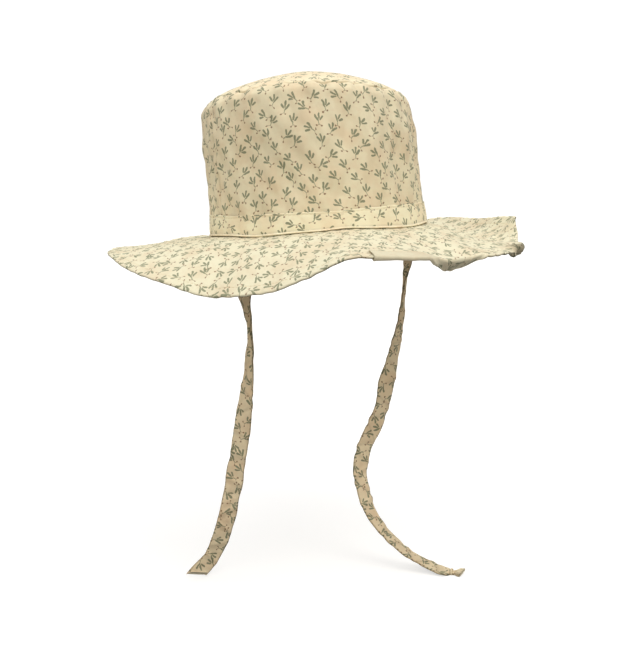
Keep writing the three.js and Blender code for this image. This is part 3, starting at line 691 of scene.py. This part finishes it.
# ---- crown ---------------------------------------------------------------------------------------
SEAM_DIR = 271.0
rng = np.random.default_rng(77)
PUCKERS = [  # dir, spread (deg), deep (mm), reach (mm): the gathers along the tip's seam
    (284, 3.2, 0.9, 12), (294, 3.0, 1.1, 14), (303, 2.4, 0.7, 9), (313, 3.6, 1.3, 15), (322, 2.2, 0.8, 9),
    (331, 3.0, 1.2, 13), (340, 4.2, 1.5, 18), (349, 2.4, 0.8, 10), (358, 2.6, 0.9, 10),
    (8, 3.0, 0.8, 11), (19, 2.8, 0.9, 12), (30, 3.0, 0.8, 10),
]
PUCKERS += [(float(a), float(b), float(c), float(e)) for a, b, c, e in zip(
    np.arange(41, 280, 8.6) + rng.uniform(-2.5, 2.5, 28), rng.uniform(2.0, 3.6, 28),
    rng.uniform(0.5, 1.1, 28), rng.uniform(8, 14, 28))]


HOLLOW_SHADE = [  # dir, away (mm from the seam), spread (deg), spread (mm), deep: painted shade, darker patches on the crown's soft hollows
    (262, 46, 9, 15, 0.11), (296, 62, 13, 21, 0.15), (322, 33, 8, 17, 0.10), (304, 78, 9, 10, 0.10), (20, 70, 7, 14, 0.08),
    (120, 50, 12, 18, 0.10), (170, 40, 10, 20, 0.10), (215, 60, 12, 16, 0.10), (75, 62, 9, 14, 0.08),
]


def puckered(d, away):
    """How deep the gathers are; away is the distance from the tip's seam, mm."""
    total = np.zeros(np.broadcast(d, away).shape)
    for centre, spread, deep, reach in PUCKERS:
        total += deep * np.exp(-(gap_deg(d, centre) / spread) ** 2) * np.exp(-away / reach)
        total -= 0.45 * deep * np.exp(-((gap_deg(d, centre + 1.9 * spread)) / spread) ** 2) * np.exp(-away / reach)
    return total


def make_crown():
    n = 560
    d = SEAM_DIR + np.arange(n) * 360 / n
    t = np.r_[-0.006, np.linspace(0, 1, 58)]
    s = np.r_[np.linspace(0.996, 0.938, 13), 0.9335, 0.931]
    D, T = np.meshgrid(d, t, indexing="ij")
    D2, S = np.meshgrid(d, s, indexing="ij")
    grid = np.concatenate([side_point(D, T), dome_point(D2, S)], 1)
    nor = normals(grid)
    step = np.linalg.norm(np.diff(grid, axis=1), axis=2)
    run = np.concatenate([np.zeros((n, 1)), np.cumsum(step, 1)], 1)
    away = run[:, -1:] - run
    full = np.broadcast_to(d[:, None], away.shape)
    rad = np.radians(full)
    soft = waves(5, rad, run / 100, [(6, 16, 0.2, 0.9, 1.0), (16, 34, 0.4, 1.6, 0.5)])
    fine = waves(6, rad, run / 100, [(30, 70, 1.0, 5.0, 1.0), (60, 120, 2.0, 8.0, 0.5)])
    mid = waves(7, rad, run / 100, [(14, 30, 1.2, 4.0, 1.0)])
    gather = puckered(full, away)
    lift = 0.62 * soft + 0.5 * mid + 0.14 * fine - 0.9 * gather + 0.2 * np.exp(-away / 9)
    lift += 1.5 * np.exp(-((away - 31) / 15) ** 2) - 1.3 * np.exp(-(gap_deg(full, 287) / 15) ** 2 - ((away - 42) / 20) ** 2)
    lift[:, :59] -= 1.5 * folded(full[:, :59], T)
    arc = np.radians(gap_deg(full, SEAM_DIR)) * BASE_R
    lift += -0.5 * np.exp(-(arc / 0.55) ** 2) + 0.3 * np.exp(-((np.abs(arc) - 2.2) / 1.6) ** 2)
    lift += 0.22 * np.sin(2 * np.pi * run / 8.5) * np.exp(-np.abs(arc) / 5)
    low = np.clip(run / 6, 0, 1)
    lift *= low * low * (3 - 2 * low)
    lift += 0.25 * np.exp(-((away - 2.6) / 1.7) ** 2)
    outer = grid + nor * lift[..., None]
    outer[:, -1] -= nor[:, -1] * 1.3
    outer[:, -2] -= nor[:, -2] * 0.5
    inner_rows = np.r_[np.arange(0, outer.shape[1] - 2, 2), outer.shape[1] - 1]
    inner = (grid - nor * (WALL - 0.6 * lift[..., None]))[:, inner_rows[::-1]]
    both = np.concatenate([outer, inner], 1)
    m1, m = outer.shape[1], both.shape[1]
    uu = np.arange(n + 1)[:, None] * (360 / n) * math.pi / 180 * BASE_R
    vv = run.mean(0)
    v = np.r_[vv, 300 - vv[inner_rows[::-1]], 300.0]
    uv = np.stack(np.broadcast_arrays(uu, v[None]), -1)
    mat = np.r_[np.zeros(m1), np.ones(m - m1)].astype(int)
    mat[m1 - 1] = 1
    wear_and_painted_shade = np.zeros(both.shape[:2])
    # painted shade in the gathers' hollows and in the groove of the side seam
    wear_and_painted_shade[:, :m1] = 0.16 * np.clip(gather, 0, 1) + 0.16 * np.exp(-(arc / 0.5) ** 2)
    # painted shade where the side's cloth turns in at the tip's seam
    wear_and_painted_shade[:, m1 - 2:m1] += 0.3
    for p_dir, p_away, p_wide, p_high, p_deep in HOLLOW_SHADE:
        wear_and_painted_shade[:, :m1] += p_deep * np.exp(-(gap_deg(full, p_dir) / p_wide) ** 2 - ((away - p_away) / p_high) ** 2)
    ob = grid_object("crown_side_cloth", both, uv, True, True, [PRINT, PLAIN], mat, flip=False, wear_and_painted_shade=wear_and_painted_shade)
    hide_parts("crown_side")
    return d, grid, nor, run, lift


CD, CG, CN, CRUN, CLIFT = make_crown()


def make_tip():
    n = 560
    d = -(SEAM_DIR + np.arange(n) * 360 / n)
    s = np.r_[np.linspace(0.012, 0.80, 34), np.linspace(0.815, 0.922, 18), 0.9265, 0.929]
    D, S = np.meshgrid(d, s, indexing="ij")
    grid = dome_point(D, S)
    nor = normals(grid)
    nor[:, 0] = (0, 0, 1)
    step = np.linalg.norm(np.diff(grid, axis=1), axis=2)
    run = np.concatenate([np.full((n, 1), 0.012 * SHOULDER_R), np.cumsum(step, 1) + 0.012 * SHOULDER_R], 1)
    away = run[:, -1:] - run
    rad = np.radians(D)
    x, y = S * np.sin(rad), S * np.cos(rad)
    g = np.random.default_rng(12)
    soft = sum(np.cos(a * x * 6 + b * y * 6 + c) for a, b, c in g.uniform((-1, -1, 0), (1, 1, 6.28), (14, 3))) / 5
    fine = sum(np.cos(a * x * 22 + b * y * 22 + c) for a, b, c in g.uniform((-1, -1, 0), (1, 1, 6.28), (18, 3))) / 6
    fade = np.clip(S / 0.25, 0, 1)
    lift = 0.5 * soft + 0.12 * fine * fade - 0.9 * puckered(D, away) * fade + 0.3 * np.exp(-((away - 2.2) / 1.5) ** 2)
    outer = grid + nor * lift[..., None]
    outer[:, -1] -= nor[:, -1] * 1.3
    outer[:, -2] -= nor[:, -2] * 0.5
    rows = np.r_[0:outer.shape[1] - 2:3, outer.shape[1] - 1]
    inner = (grid - nor * (WALL - 0.6 * lift[..., None]))[:, rows]
    m1, m2 = outer.shape[1], inner.shape[1]
    top, bottom = outer[:, 0].mean(0), inner[:, 0].mean(0)
    verts = np.vstack([outer.reshape(-1, 3), inner.reshape(-1, 3), top, bottom])
    r = run.mean(0)
    a = np.radians(d)
    flat = np.stack([np.sin(a)[:, None] * r[None], np.cos(a)[:, None] * r[None]], -1) + 700
    flat_in = flat[:, rows] + 300
    f1, ci, cj = grid_faces(n, m1, True, False)
    c1 = flat[ci % n, cj]
    f2, ci, cj = grid_faces(n, m2, True, False, n * m1)
    c2 = flat_in[ci % n, cj]
    f2, c2 = f2[:, ::-1], c2[:, ::-1]
    i = np.arange(n)
    k = (i + 1) % n
    e1, e2 = m1 - 1, n * m1 + m2 - 1
    rim = np.stack([i * m1 + e1, k * m1 + e1, k * m2 + e2, i * m2 + e2], -1)
    crim = np.stack([flat[i, -1], flat[k, -1], flat[k, -1], flat[i, -1]], 1)
    tt, tb = len(verts) - 2, len(verts) - 1
    fan1 = np.stack([np.full(n, tt), k * m1, i * m1], -1)
    cf1 = np.stack([np.full((n, 2), 700.0), flat[k, 0], flat[i, 0]], 1)
    fan2 = np.stack([np.full(n, tb), n * m1 + i * m2, n * m1 + k * m2], -1)
    cf2 = np.stack([np.full((n, 2), 1000.0), flat_in[i, 0], flat_in[k, 0]], 1)
    faces = [tuple(q) for part in (f1, f2, rim, fan1, fan2) for q in part]
    corners = np.vstack([q.reshape(-1, 2) for q in (c1, c2, crim, cf1, cf2)])
    mat = np.r_[np.zeros(len(f1)), np.ones(len(f2)), np.ones(n), np.zeros(n), np.ones(n)]
    ob = make_object("crown_tip_cloth", verts, faces, corners, [PRINT, PLAIN], mat)
    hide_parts("crown_tip")


make_tip()

# ---- band ----------------------------------------------------------------------------------------
BAND_END = 287.0


def make_band():
    n = 640
    d = BAND_END + np.arange(n) * 360 / n
    # the section: height, and how far it stands off the crown's side
    sec = [(0.15, 0.1), (0.05, 1.0), (0.2, 1.8), (0.5, 2.3), (0.95, 2.35), (1.35, 2.1), (1.7, 1.65),
           (3.2, 1.72), (5.0, 1.62), (7.2, 1.42), (9.4, 1.2), (11.4, 1.02), (12.8, 0.88), (13.5, 0.7), (14.1, 0.82),
           (14.7, 0.92), (15.1, 0.82), (15.3, 0.6), (15.25, 0.3), (14.9, 0.08), (11, 0.05), (7, 0.05), (3, 0.05)]
    z, off = np.array([q[0] for q in sec]), np.array([q[1] for q in sec])
    D, Z = np.meshgrid(d, z, indexing="ij")
    rad = np.radians(D)
    wob = 0.35 * waves(31, rad, 0 * Z, [(3, 9, 0, 0, 1.0), (10, 24, 0, 0, 0.4)]) * (Z / BAND_H)
    hang = np.clip(off / 1.8, 0, 1) * (np.arange(len(z)) < 18)
    Zw = Z + wob - sag_low(D) * (1 - Z / BAND_H).clip(0) * hang[None] - sag_high(D) * Z / BAND_H
    base = side_point(D, Zw / shoulder_h(D))
    nor = normals(side_point(*np.meshgrid(d, z[:19], indexing="ij")[:1], np.meshgrid(d, z[:19], indexing="ij")[1] / shoulder_h(D[:, :19])))
    out = outward(D)
    soft = waves(33, rad, Z / 15, [(14, 34, 0.1, 0.5, 1.0), (40, 90, 0.2, 1.0, 0.45)])
    face = np.clip(off / 1.2, 0, 1)[None]
    # the two ends overlap: one layer more just past the end
    past = np.mod(D - BAND_END, 360)
    lap = 0.55 * np.exp(-np.maximum(past, 0) / 5.0) * (past < 60)
    lift = off[None] + face * (0.2 * soft + lap)
    lip = np.exp(-((Z - 0.5) / 0.9) ** 2) * 0.25 * waves(35, rad, 0 * Z, [(8, 20, 0, 0, 1.0)])
    g = base + out * (lift + lip * face)[..., None]
    uu = np.arange(n + 1)[:, None] * (360 / n) * math.pi / 180 * BASE_R
    v = np.r_[z[:18], 40 - z[18:], 40.0]
    v[:3] = (-2.6, -1.6, -0.6)
    uv = np.stack(np.broadcast_arrays(uu + 61.0, v[None] + 150.0), -1)
    wear_and_painted_shade = np.zeros(g.shape[:2])
    # painted shadow beneath the band's lower roll, where it meets the brim
    wear_and_painted_shade[:, :3] = (0.9, 0.85, 0.5)
    # painted shade in the groove above the roll
    wear_and_painted_shade[:, 6] = 0.32
    # painted shade where the band's top edge turns under
    wear_and_painted_shade[:, 17:20] = (0.12, 0.4, 0.6)
    mat = np.zeros(len(z), int)
    # the lower roll takes the lighter plain cotton: painted light on the roll
    mat[:6] = 1
    ob = grid_object("hat_band_cloth", g, uv, True, True, [PRINT_BAND_LIT, PLAIN_LIT], mat, flip=False, wear_and_painted_shade=wear_and_painted_shade)
    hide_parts("hat_band")
    line = np.vstack([g[:, 13], g[:1, 13]])
    st = stitches("band_stitches", line, np.vstack([out[:, 13], out[:1, 13]]), length=2.1, pitch=2.9, radius=0.16, proud=0.06)


make_band()


# ---- brim ----------------------------------------------------------------------------------------
def brim_middle(d, s, extra=True):
    """The middle of the brim's cloth, [len(d), len(s), 3]: the model's profile, followed along its cloth, with
    the hem rolled under where it curls, and the wrinkles of real cotton."""
    fine = np.linspace(0, 1, 121)
    D, F = np.meshgrid(d, fine, indexing="ij")
    lip = 0.62 * (1 - np.clip(curl(d) / 100, 0, 1))
    z = brim_height(D, F, lip=lip[:, None]) - curl_low(d)[:, None] * np.clip((F - 0.25) / 0.6, 0, 1.2) ** 2
    width = BRIM_W - brim_ripples(d)
    reach = width.copy()
    dz = np.diff(z, axis=1)
    for _ in range(12):
        reach -= np.sqrt((reach[:, None] / 120) ** 2 + dz ** 2).sum(1) - width
    r = BASE_R + reach[:, None] * F
    # roll the hem under
    slope = np.arctan2(np.diff(z, axis=1), np.diff(r, axis=1))
    ds = np.sqrt(np.diff(z, axis=1) ** 2 + np.diff(r, axis=1) ** 2)
    at = (fine[1:] + fine[:-1]) / 2
    begin = 1 - curl_cloth(d)[:, None] / BRIM_W
    f = np.clip((at[None] - begin) / (1 - begin), 0, 1)
    even = 0.35 * f + 0.65 * (1 - (1 - f) ** 2.0)
    quick = 1 - (1 - np.clip(f / 0.36, 0, 1)) ** 2
    sharp = curl_sharp(d)[:, None]
    slope = slope - np.radians(curl(d))[:, None] * (even + (quick - even) * sharp)
    out = np.clip(at[None] / 0.75, 0, 1) * (f <= 0)
    ds = ds + curl_reach(d)[:, None] * out / out.sum(1, keepdims=True)
    r = np.concatenate([np.full((len(d), 1), BASE_R), BASE_R + np.cumsum(ds * np.cos(slope), 1)], 1)
    z = np.concatenate([np.zeros((len(d), 1)), np.cumsum(ds * np.sin(slope), 1)], 1)
    rs = np.stack([np.interp(s, fine, q) for q in r])
    zs = np.stack([np.interp(s, fine, q) for q in z])
    rs[:, s < 0] = BASE_R + s[s < 0] * BRIM_W
    p = outward(np.broadcast_to(d[:, None], rs.shape)) * rs[..., None]
    p[..., 2] = zs - GAP
    # the seam sags a little here and there, and the brim with it
    past = np.clip(s, 0, 1) * BRIM_W
    p[..., 2] -= sag_low(d)[:, None] * (np.clip(past / 2.3, 0, 1) * np.exp(-(np.clip(past - 2.3, 0, None) / 15) ** 2))[None]
    nor = -normals(p)
    if not extra:
        return p, nor
    S = np.broadcast_to(s[None], rs.shape)
    A = np.broadcast_to(np.radians(d)[:, None], rs.shape)
    soft = waves(41, A, S, [(5, 14, 0.2, 1.0, 1.0), (12, 30, 0.6, 2.2, 0.5)])
    fine_w = waves(42, A, S, [(40, 90, 1.5, 5.0, 1.0), (90, 160, 2.0, 8.0, 0.5)])
    grow = np.clip(S / 0.18, 0, 1)
    lift = grow * (0.5 * soft * np.clip(S, 0, 1) + 0.14 * fine_w)
    # the wrinkles of the part that is pushed together
    rip = brim_ripples(d)[:, None]
    amp = np.sqrt(np.clip(rip, 0, None)) * 0.62
    ph = waves(43, A, S, [(10, 26, 0.3, 1.2, 1.0)])
    lift = lift + amp * np.sin(2 * np.pi * (3.6 * S + 0.35 * ph) + 4 * A) * np.sin(np.pi * np.clip((S - 0.1) / 0.8, 0, 1)) ** 1.2
    # gathers at the seam, and puckers along the hem
    seam = waves(44, A, 0 * S, [(40, 70, 0, 0, 1.0)])
    lift = lift + 0.3 * seam * np.exp(-np.clip(S, 0, 1) * BRIM_W / 7) * np.clip(S / 0.02, 0, 1)
    hem = waves(45, A, 0 * S, [(70, 120, 0, 0, 1.0)])
    lift = lift + 0.28 * hem * np.exp(-(1 - S) * BRIM_W / 6)
    p = p + nor * lift[..., None]
    return p, -normals(p)


def make_brim():
    n = 640
    d = np.arange(n) * 360 / n
    top = np.r_[-0.018, 0.0, 0.012, np.linspace(0.03, 0.9, 44), np.linspace(0.91, 0.985, 14)]
    low = np.r_[np.linspace(0.985, 0.9, 10), np.linspace(0.87, 0.03, 24), 0.0, -0.018]
    s = np.unique(np.r_[top, low, 1.0])
    mid, nor = brim_middle(d, s)
    mid = mid - nor * (WALL / 2)  # the model's profile is the top of the cloth
    pick = {round(float(v), 6): k for k, v in enumerate(s)}
    it, il = [pick[round(float(v), 6)] for v in top], [pick[round(float(v), 6)] for v in low]
    # half thickness: the turned-in hem is thicker, with a groove along its stitching
    from_edge = (1 - s) * BRIM_W
    h = WALL / 2 + 0.16 / (1 + np.exp((from_edge - 7.5) / 0.6)) - 0.12 * np.exp(-((from_edge - 6.2) / 0.5) ** 2)
    h = np.where(s < 0.01, 0.55, h)
    # the hem is bunched into a small knob on the wearer's left
    swell = 2.3 * np.exp(-(gap_deg(d, 33.9) / 3.3) ** 2)[:, None] * np.exp(-((from_edge - 7.0) / 4.4) ** 2)[None]
    thick = h[None] + swell
    up = mid[:, it] + nor[:, it] * thick[:, it][..., None]
    down = mid[:, il] - nor[:, il] * thick[:, il][..., None]
    end, en = mid[:, pick[1.0]], nor[:, pick[1.0]]
    tang = end - mid[:, pick[round(float(top[-1]), 6)]]
    tang /= np.linalg.norm(tang, axis=1, keepdims=True)
    he = h[it[-1]]
    start = mid[:, it[-1]]
    reach = np.linalg.norm(end - start, axis=1, keepdims=True)
    rim = [start + tang * (reach - he + he * math.sin(a)) + en * he * math.cos(a)
           for a in np.radians([25, 50, 75, 90, 105, 130, 155])]
    section = np.concatenate([up, np.stack(rim, 1), down], 1)
    st, sl = s[it], s[il]
    rho = np.r_[BASE_R + st * BRIM_W, BASE_R + BRIM_W + np.linspace(-0.9, 0.9, len(rim))]
    a = np.radians(np.arange(n + 1) * 360 / n)
    uv1 = np.stack([np.sin(a)[:, None] * rho, np.cos(a)[:, None] * rho], -1) + 400
    rho2 = BASE_R + sl * BRIM_W
    uv2 = np.stack([np.sin(a)[:, None] * rho2, np.cos(a)[:, None] * rho2], -1) + (1200, 400)
    uv = np.concatenate([uv1, uv2, uv2[:, -1:]], 1)
    k = len(st) + len(rim)
    uv[:, k - 1] = uv[:, k - 1]
    faces, ci, cj = grid_faces(n, section.shape[1], True, True)
    corner = uv[ci, cj]
    # the strip between rim and underside takes the underside's print on both its sides
    on = cj[:, 0] == k - 1
    fix = uv[:, k]
    corner[on] = fix[ci[on]]
    wear_and_painted_shade = np.zeros(section.shape[:2])
    nt = len(st)
    # painted shade on the lower half of the hem's fold and just under it
    wear_and_painted_shade[:, nt:nt + 7] = (0.0, 0.0, 0.1, 0.3, 0.7, 0.85, 0.75)
    wear_and_painted_shade[:, nt + 7] = 0.3
    # painted shade on the hem where it rolls under, growing towards the edge
    hang = np.clip((curl(d) - 60) / 50, 0, 1) * curl_sharp(d)
    begin = 1 - curl_cloth(d) / BRIM_W
    wear_and_painted_shade[:, :nt] += 0.22 * hang[:, None] * np.clip((st[None] - begin[:, None]) * BRIM_W / 4, 0, 1)
    knob = np.exp(-(gap_deg(d, 33.6) / 4.3) ** 4)
    wear_and_painted_shade[:, :nt] += 0.85 * knob[:, None] * np.clip((st[None] - 0.785) / 0.035, 0, 1)
    # the shaded line where the label's end lies on the brim
    wear_and_painted_shade[:, :nt] += 0.5 * np.exp(-(gap_deg(d, LABEL_FROM - 0.35) / 0.42) ** 2)[:, None] * (st[None] > LABEL_BACK + 0.01)
    ob = make_object("brim_cloth", section.reshape(-1, 3), faces[:, ::-1], corner[:, ::-1].reshape(-1, 2), [PRINT_BRIM],
                     wear_and_painted_shade=np.clip(wear_and_painted_shade, 0, 1))
    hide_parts("brim")
    # stitching along the hem, above and below
    j = int(np.argmin(np.abs(from_edge - 6.2)))
    for name, sign in (("hem_stitches_top", 1), ("hem_stitches_under", -1)):
        line = mid[:, j] + nor[:, j] * sign * (h[j] + 0.05)
        st_ob = stitches(name, np.vstack([line, line[:1]]), np.vstack([nor[:, j], nor[:1, j]]) * sign,
                         length=2.2, pitch=3.0, radius=0.18, proud=0.06)


make_brim()


# ---- label ---------------------------------------------------------------------------------------
def make_label():
    n = 60
    d = np.linspace(LABEL_FROM - 0.15, LABEL_TO + 0.1, n)
    s = np.r_[np.linspace(LABEL_BACK - 0.002, 0.985, 22), 1.0]
    pad = 3
    dd = np.r_[d[0] - np.arange(pad, 0, -1) * 0.25, d, d[-1] + np.arange(1, pad + 1) * 0.25]
    mid, nor = brim_middle(dd, s)
    mid, nor = mid[pad:-pad] - nor[pad:-pad] * (WALL / 2), nor[pad:-pad]
    tang = mid[:, -1] - mid[:, -2]
    tang /= np.linalg.norm(tang, axis=1, keepdims=True)
    # the tape stands off a little at one end, and lies flat in the fold at the other
    flat_end = np.clip((d - 352.5) / 3.5, 0, 1)
    lifted = 0.55 * np.exp(-(d - d[0]) / 1.1)
    clear = WALL / 2 + 0.2 - 0.14 * flat_end + lifted
    thick = 0.5 - 0.3 * flat_end

    def shell(off):
        off = off[:, None]
        up = mid[:, :-1] + nor[:, :-1] * off[..., None]
        rim = [mid[:, -1] + tang * (off * math.sin(a) - 0.2) + nor[:, -1] * off * math.cos(a)
               for a in np.radians(np.linspace(12, 168, 11))]
        down = (mid[:, :-1] - nor[:, :-1] * off[..., None])[:, ::-1]
        return np.concatenate([up, np.stack(rim, 1), down], 1)

    outer, inner = shell(clear + thick), shell(clear)
    puff = 0.18 * waves(61, np.linspace(0, 3, n)[:, None], np.linspace(0, 1, outer.shape[1])[None], [(1, 3, 0.5, 2.0, 1.0)])
    outer = outer + (puff * (1 - 0.7 * flat_end[:, None]))[..., None] * np.concatenate([nor[:, :-1], nor[:, -1:].repeat(11, 1), -nor[:, :-1][:, ::-1]], 1)
    section = np.concatenate([outer, inner[:, ::-1]], 1)
    m = section.shape[1]
    along = np.r_[0, np.cumsum(np.linalg.norm(np.diff(mid[:, -1], axis=0), axis=1))]
    run = np.r_[0, np.cumsum(np.linalg.norm(np.diff(section.mean(0), axis=0), axis=1))]
    uv = np.stack(np.broadcast_arrays(along[:, None], np.r_[run, run[-1] + 1][None]), -1)
    faces, ci, cj = grid_faces(n, m, False, True)
    corner = uv[ci, cj].reshape(-1, 2)
    half = outer.shape[1]
    caps, cc = [], []
    for i, order in ((0, 1), (n - 1, -1)):
        for q in range(half - 1):
            f = [i * m + q, i * m + q + 1, i * m + m - 2 - q, i * m + m - 1 - q][::order]
            caps.append(tuple(f))
            cc += [(0, 0), (0, 1), (1, 1), (1, 0)]
    ob = make_object("label_tape", section.reshape(-1, 3), [tuple(f[::-1]) for f in faces] + [c[::-1] for c in caps],
                     np.vstack([corner.reshape(-1, 4, 2)[:, ::-1].reshape(-1, 2), cc]), [LABEL])
    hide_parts("label")
    # a row of stitches near its back edge, on top
    st = stitches("label_stitches", section[2:-2, 2], nor[2:-2, 2], length=1.9, pitch=2.6, radius=0.16, proud=0.05)


make_label()


# ---- floor and light -------------------------------------------------------------------------------
SKY_LOW, SKY_HIGH, FLOOR_PALE = 0.28, 1.13, 0.31


def stage():
    mat = bpy.data.materials.new("floor")
    mat.use_nodes = True
    mat.node_tree.nodes.clear()
    N = Nodes(mat.node_tree)
    pale = N.put("ShaderNodeBsdfDiffuse", {"Color": (FLOOR_PALE, FLOOR_PALE, FLOOR_PALE, 1)})
    lit = N.put("ShaderNodeAddShader", [N.put("ShaderNodeBsdfDiffuse", {"Color": (0.5, 0.5, 0.5, 1)}),
                                        N.put("ShaderNodeEmission", {"Color": (1, 1, 1, 1), "Strength": 0.6})])
    both = N.put("ShaderNodeMixShader", [N.put("ShaderNodeLightPath", out=0), pale, lit])
    end = mat.node_tree.nodes.new("ShaderNodeOutputMaterial")
    mat.node_tree.links.new(both, end.inputs[0])
    me = bpy.data.meshes.new("floor")
    r, k = 40.0, 64
    z = FLOOR_Z / 1000
    me.from_pydata([(r * math.cos(2 * math.pi * i / k), r * math.sin(2 * math.pi * i / k), z) for i in range(k)], [], [tuple(range(k))])
    me.materials.append(mat)
    ob = bpy.data.objects.new("floor", me)
    bpy.context.scene.collection.objects.link(ob)

    def sun(name, azimuth, elevation, strength, angle, colour):
        data = bpy.data.lights.new(name, "SUN")
        data.energy, data.angle, data.color = strength, math.radians(angle), colour
        o = bpy.data.objects.new(name, data)
        a, e = math.radians(azimuth), math.radians(elevation)
        back = np.array([math.sin(a) * math.cos(e), -math.cos(a) * math.cos(e), math.sin(e)])
        r_ = unit(np.cross(-back, [0, 0, 1.0001]) if abs(back[2]) < 0.999 else np.array([1.0, 0, 0]))
        u_ = np.cross(r_, -back)
        m = Matrix.Identity(4)
        for c in range(3):
            m[c][0], m[c][1], m[c][2] = r_[c], u_[c], back[c]
        o.matrix_world = m
        bpy.context.scene.collection.objects.link(o)

    sun("key", 12, 60, 1.08, 35, (1.0, 0.96, 0.88))
    sun("fill", -58, 28, 0.68, 50, (1.0, 0.95, 0.86))
    sun("low fill", 12, 6, 0.24, 50, (1.0, 0.95, 0.86))
    world = bpy.data.worlds.new("studio")
    bpy.context.scene.world = world
    world.use_nodes = True
    t = world.node_tree
    t.nodes.clear()
    N = Nodes(t)
    # one large soft light overhead, fading to warm low light at the sides
    way = N.put("ShaderNodeTexCoord", out=0)
    s = t.nodes.new("ShaderNodeSeparateXYZ")
    t.links.new(way, s.inputs[0])
    high = N.ramp(s.outputs[2], 0.1, 0.9)
    tint = N.mix(high, (1.0, 0.87, 0.68, 1), (0.985, 1.0, 1.03, 1))
    power = N.math("MULTIPLY_ADD", high, SKY_HIGH - SKY_LOW, SKY_LOW)
    light = N.put("ShaderNodeBackground", {"Color": tint, "Strength": power})
    seen = N.put("ShaderNodeBackground", {"Color": (1, 1, 1, 1), "Strength": 1.05})
    ray = N.put("ShaderNodeLightPath", out=0)
    both = N.put("ShaderNodeMixShader", [ray, light, seen])
    out = t.nodes.new("ShaderNodeOutputWorld")
    t.links.new(both, out.inputs[0])


stage()
view = bpy.context.scene.view_settings
view.view_transform = "Standard"
view.look = "None"
view.exposure = 0.0
view.gamma = 1.0
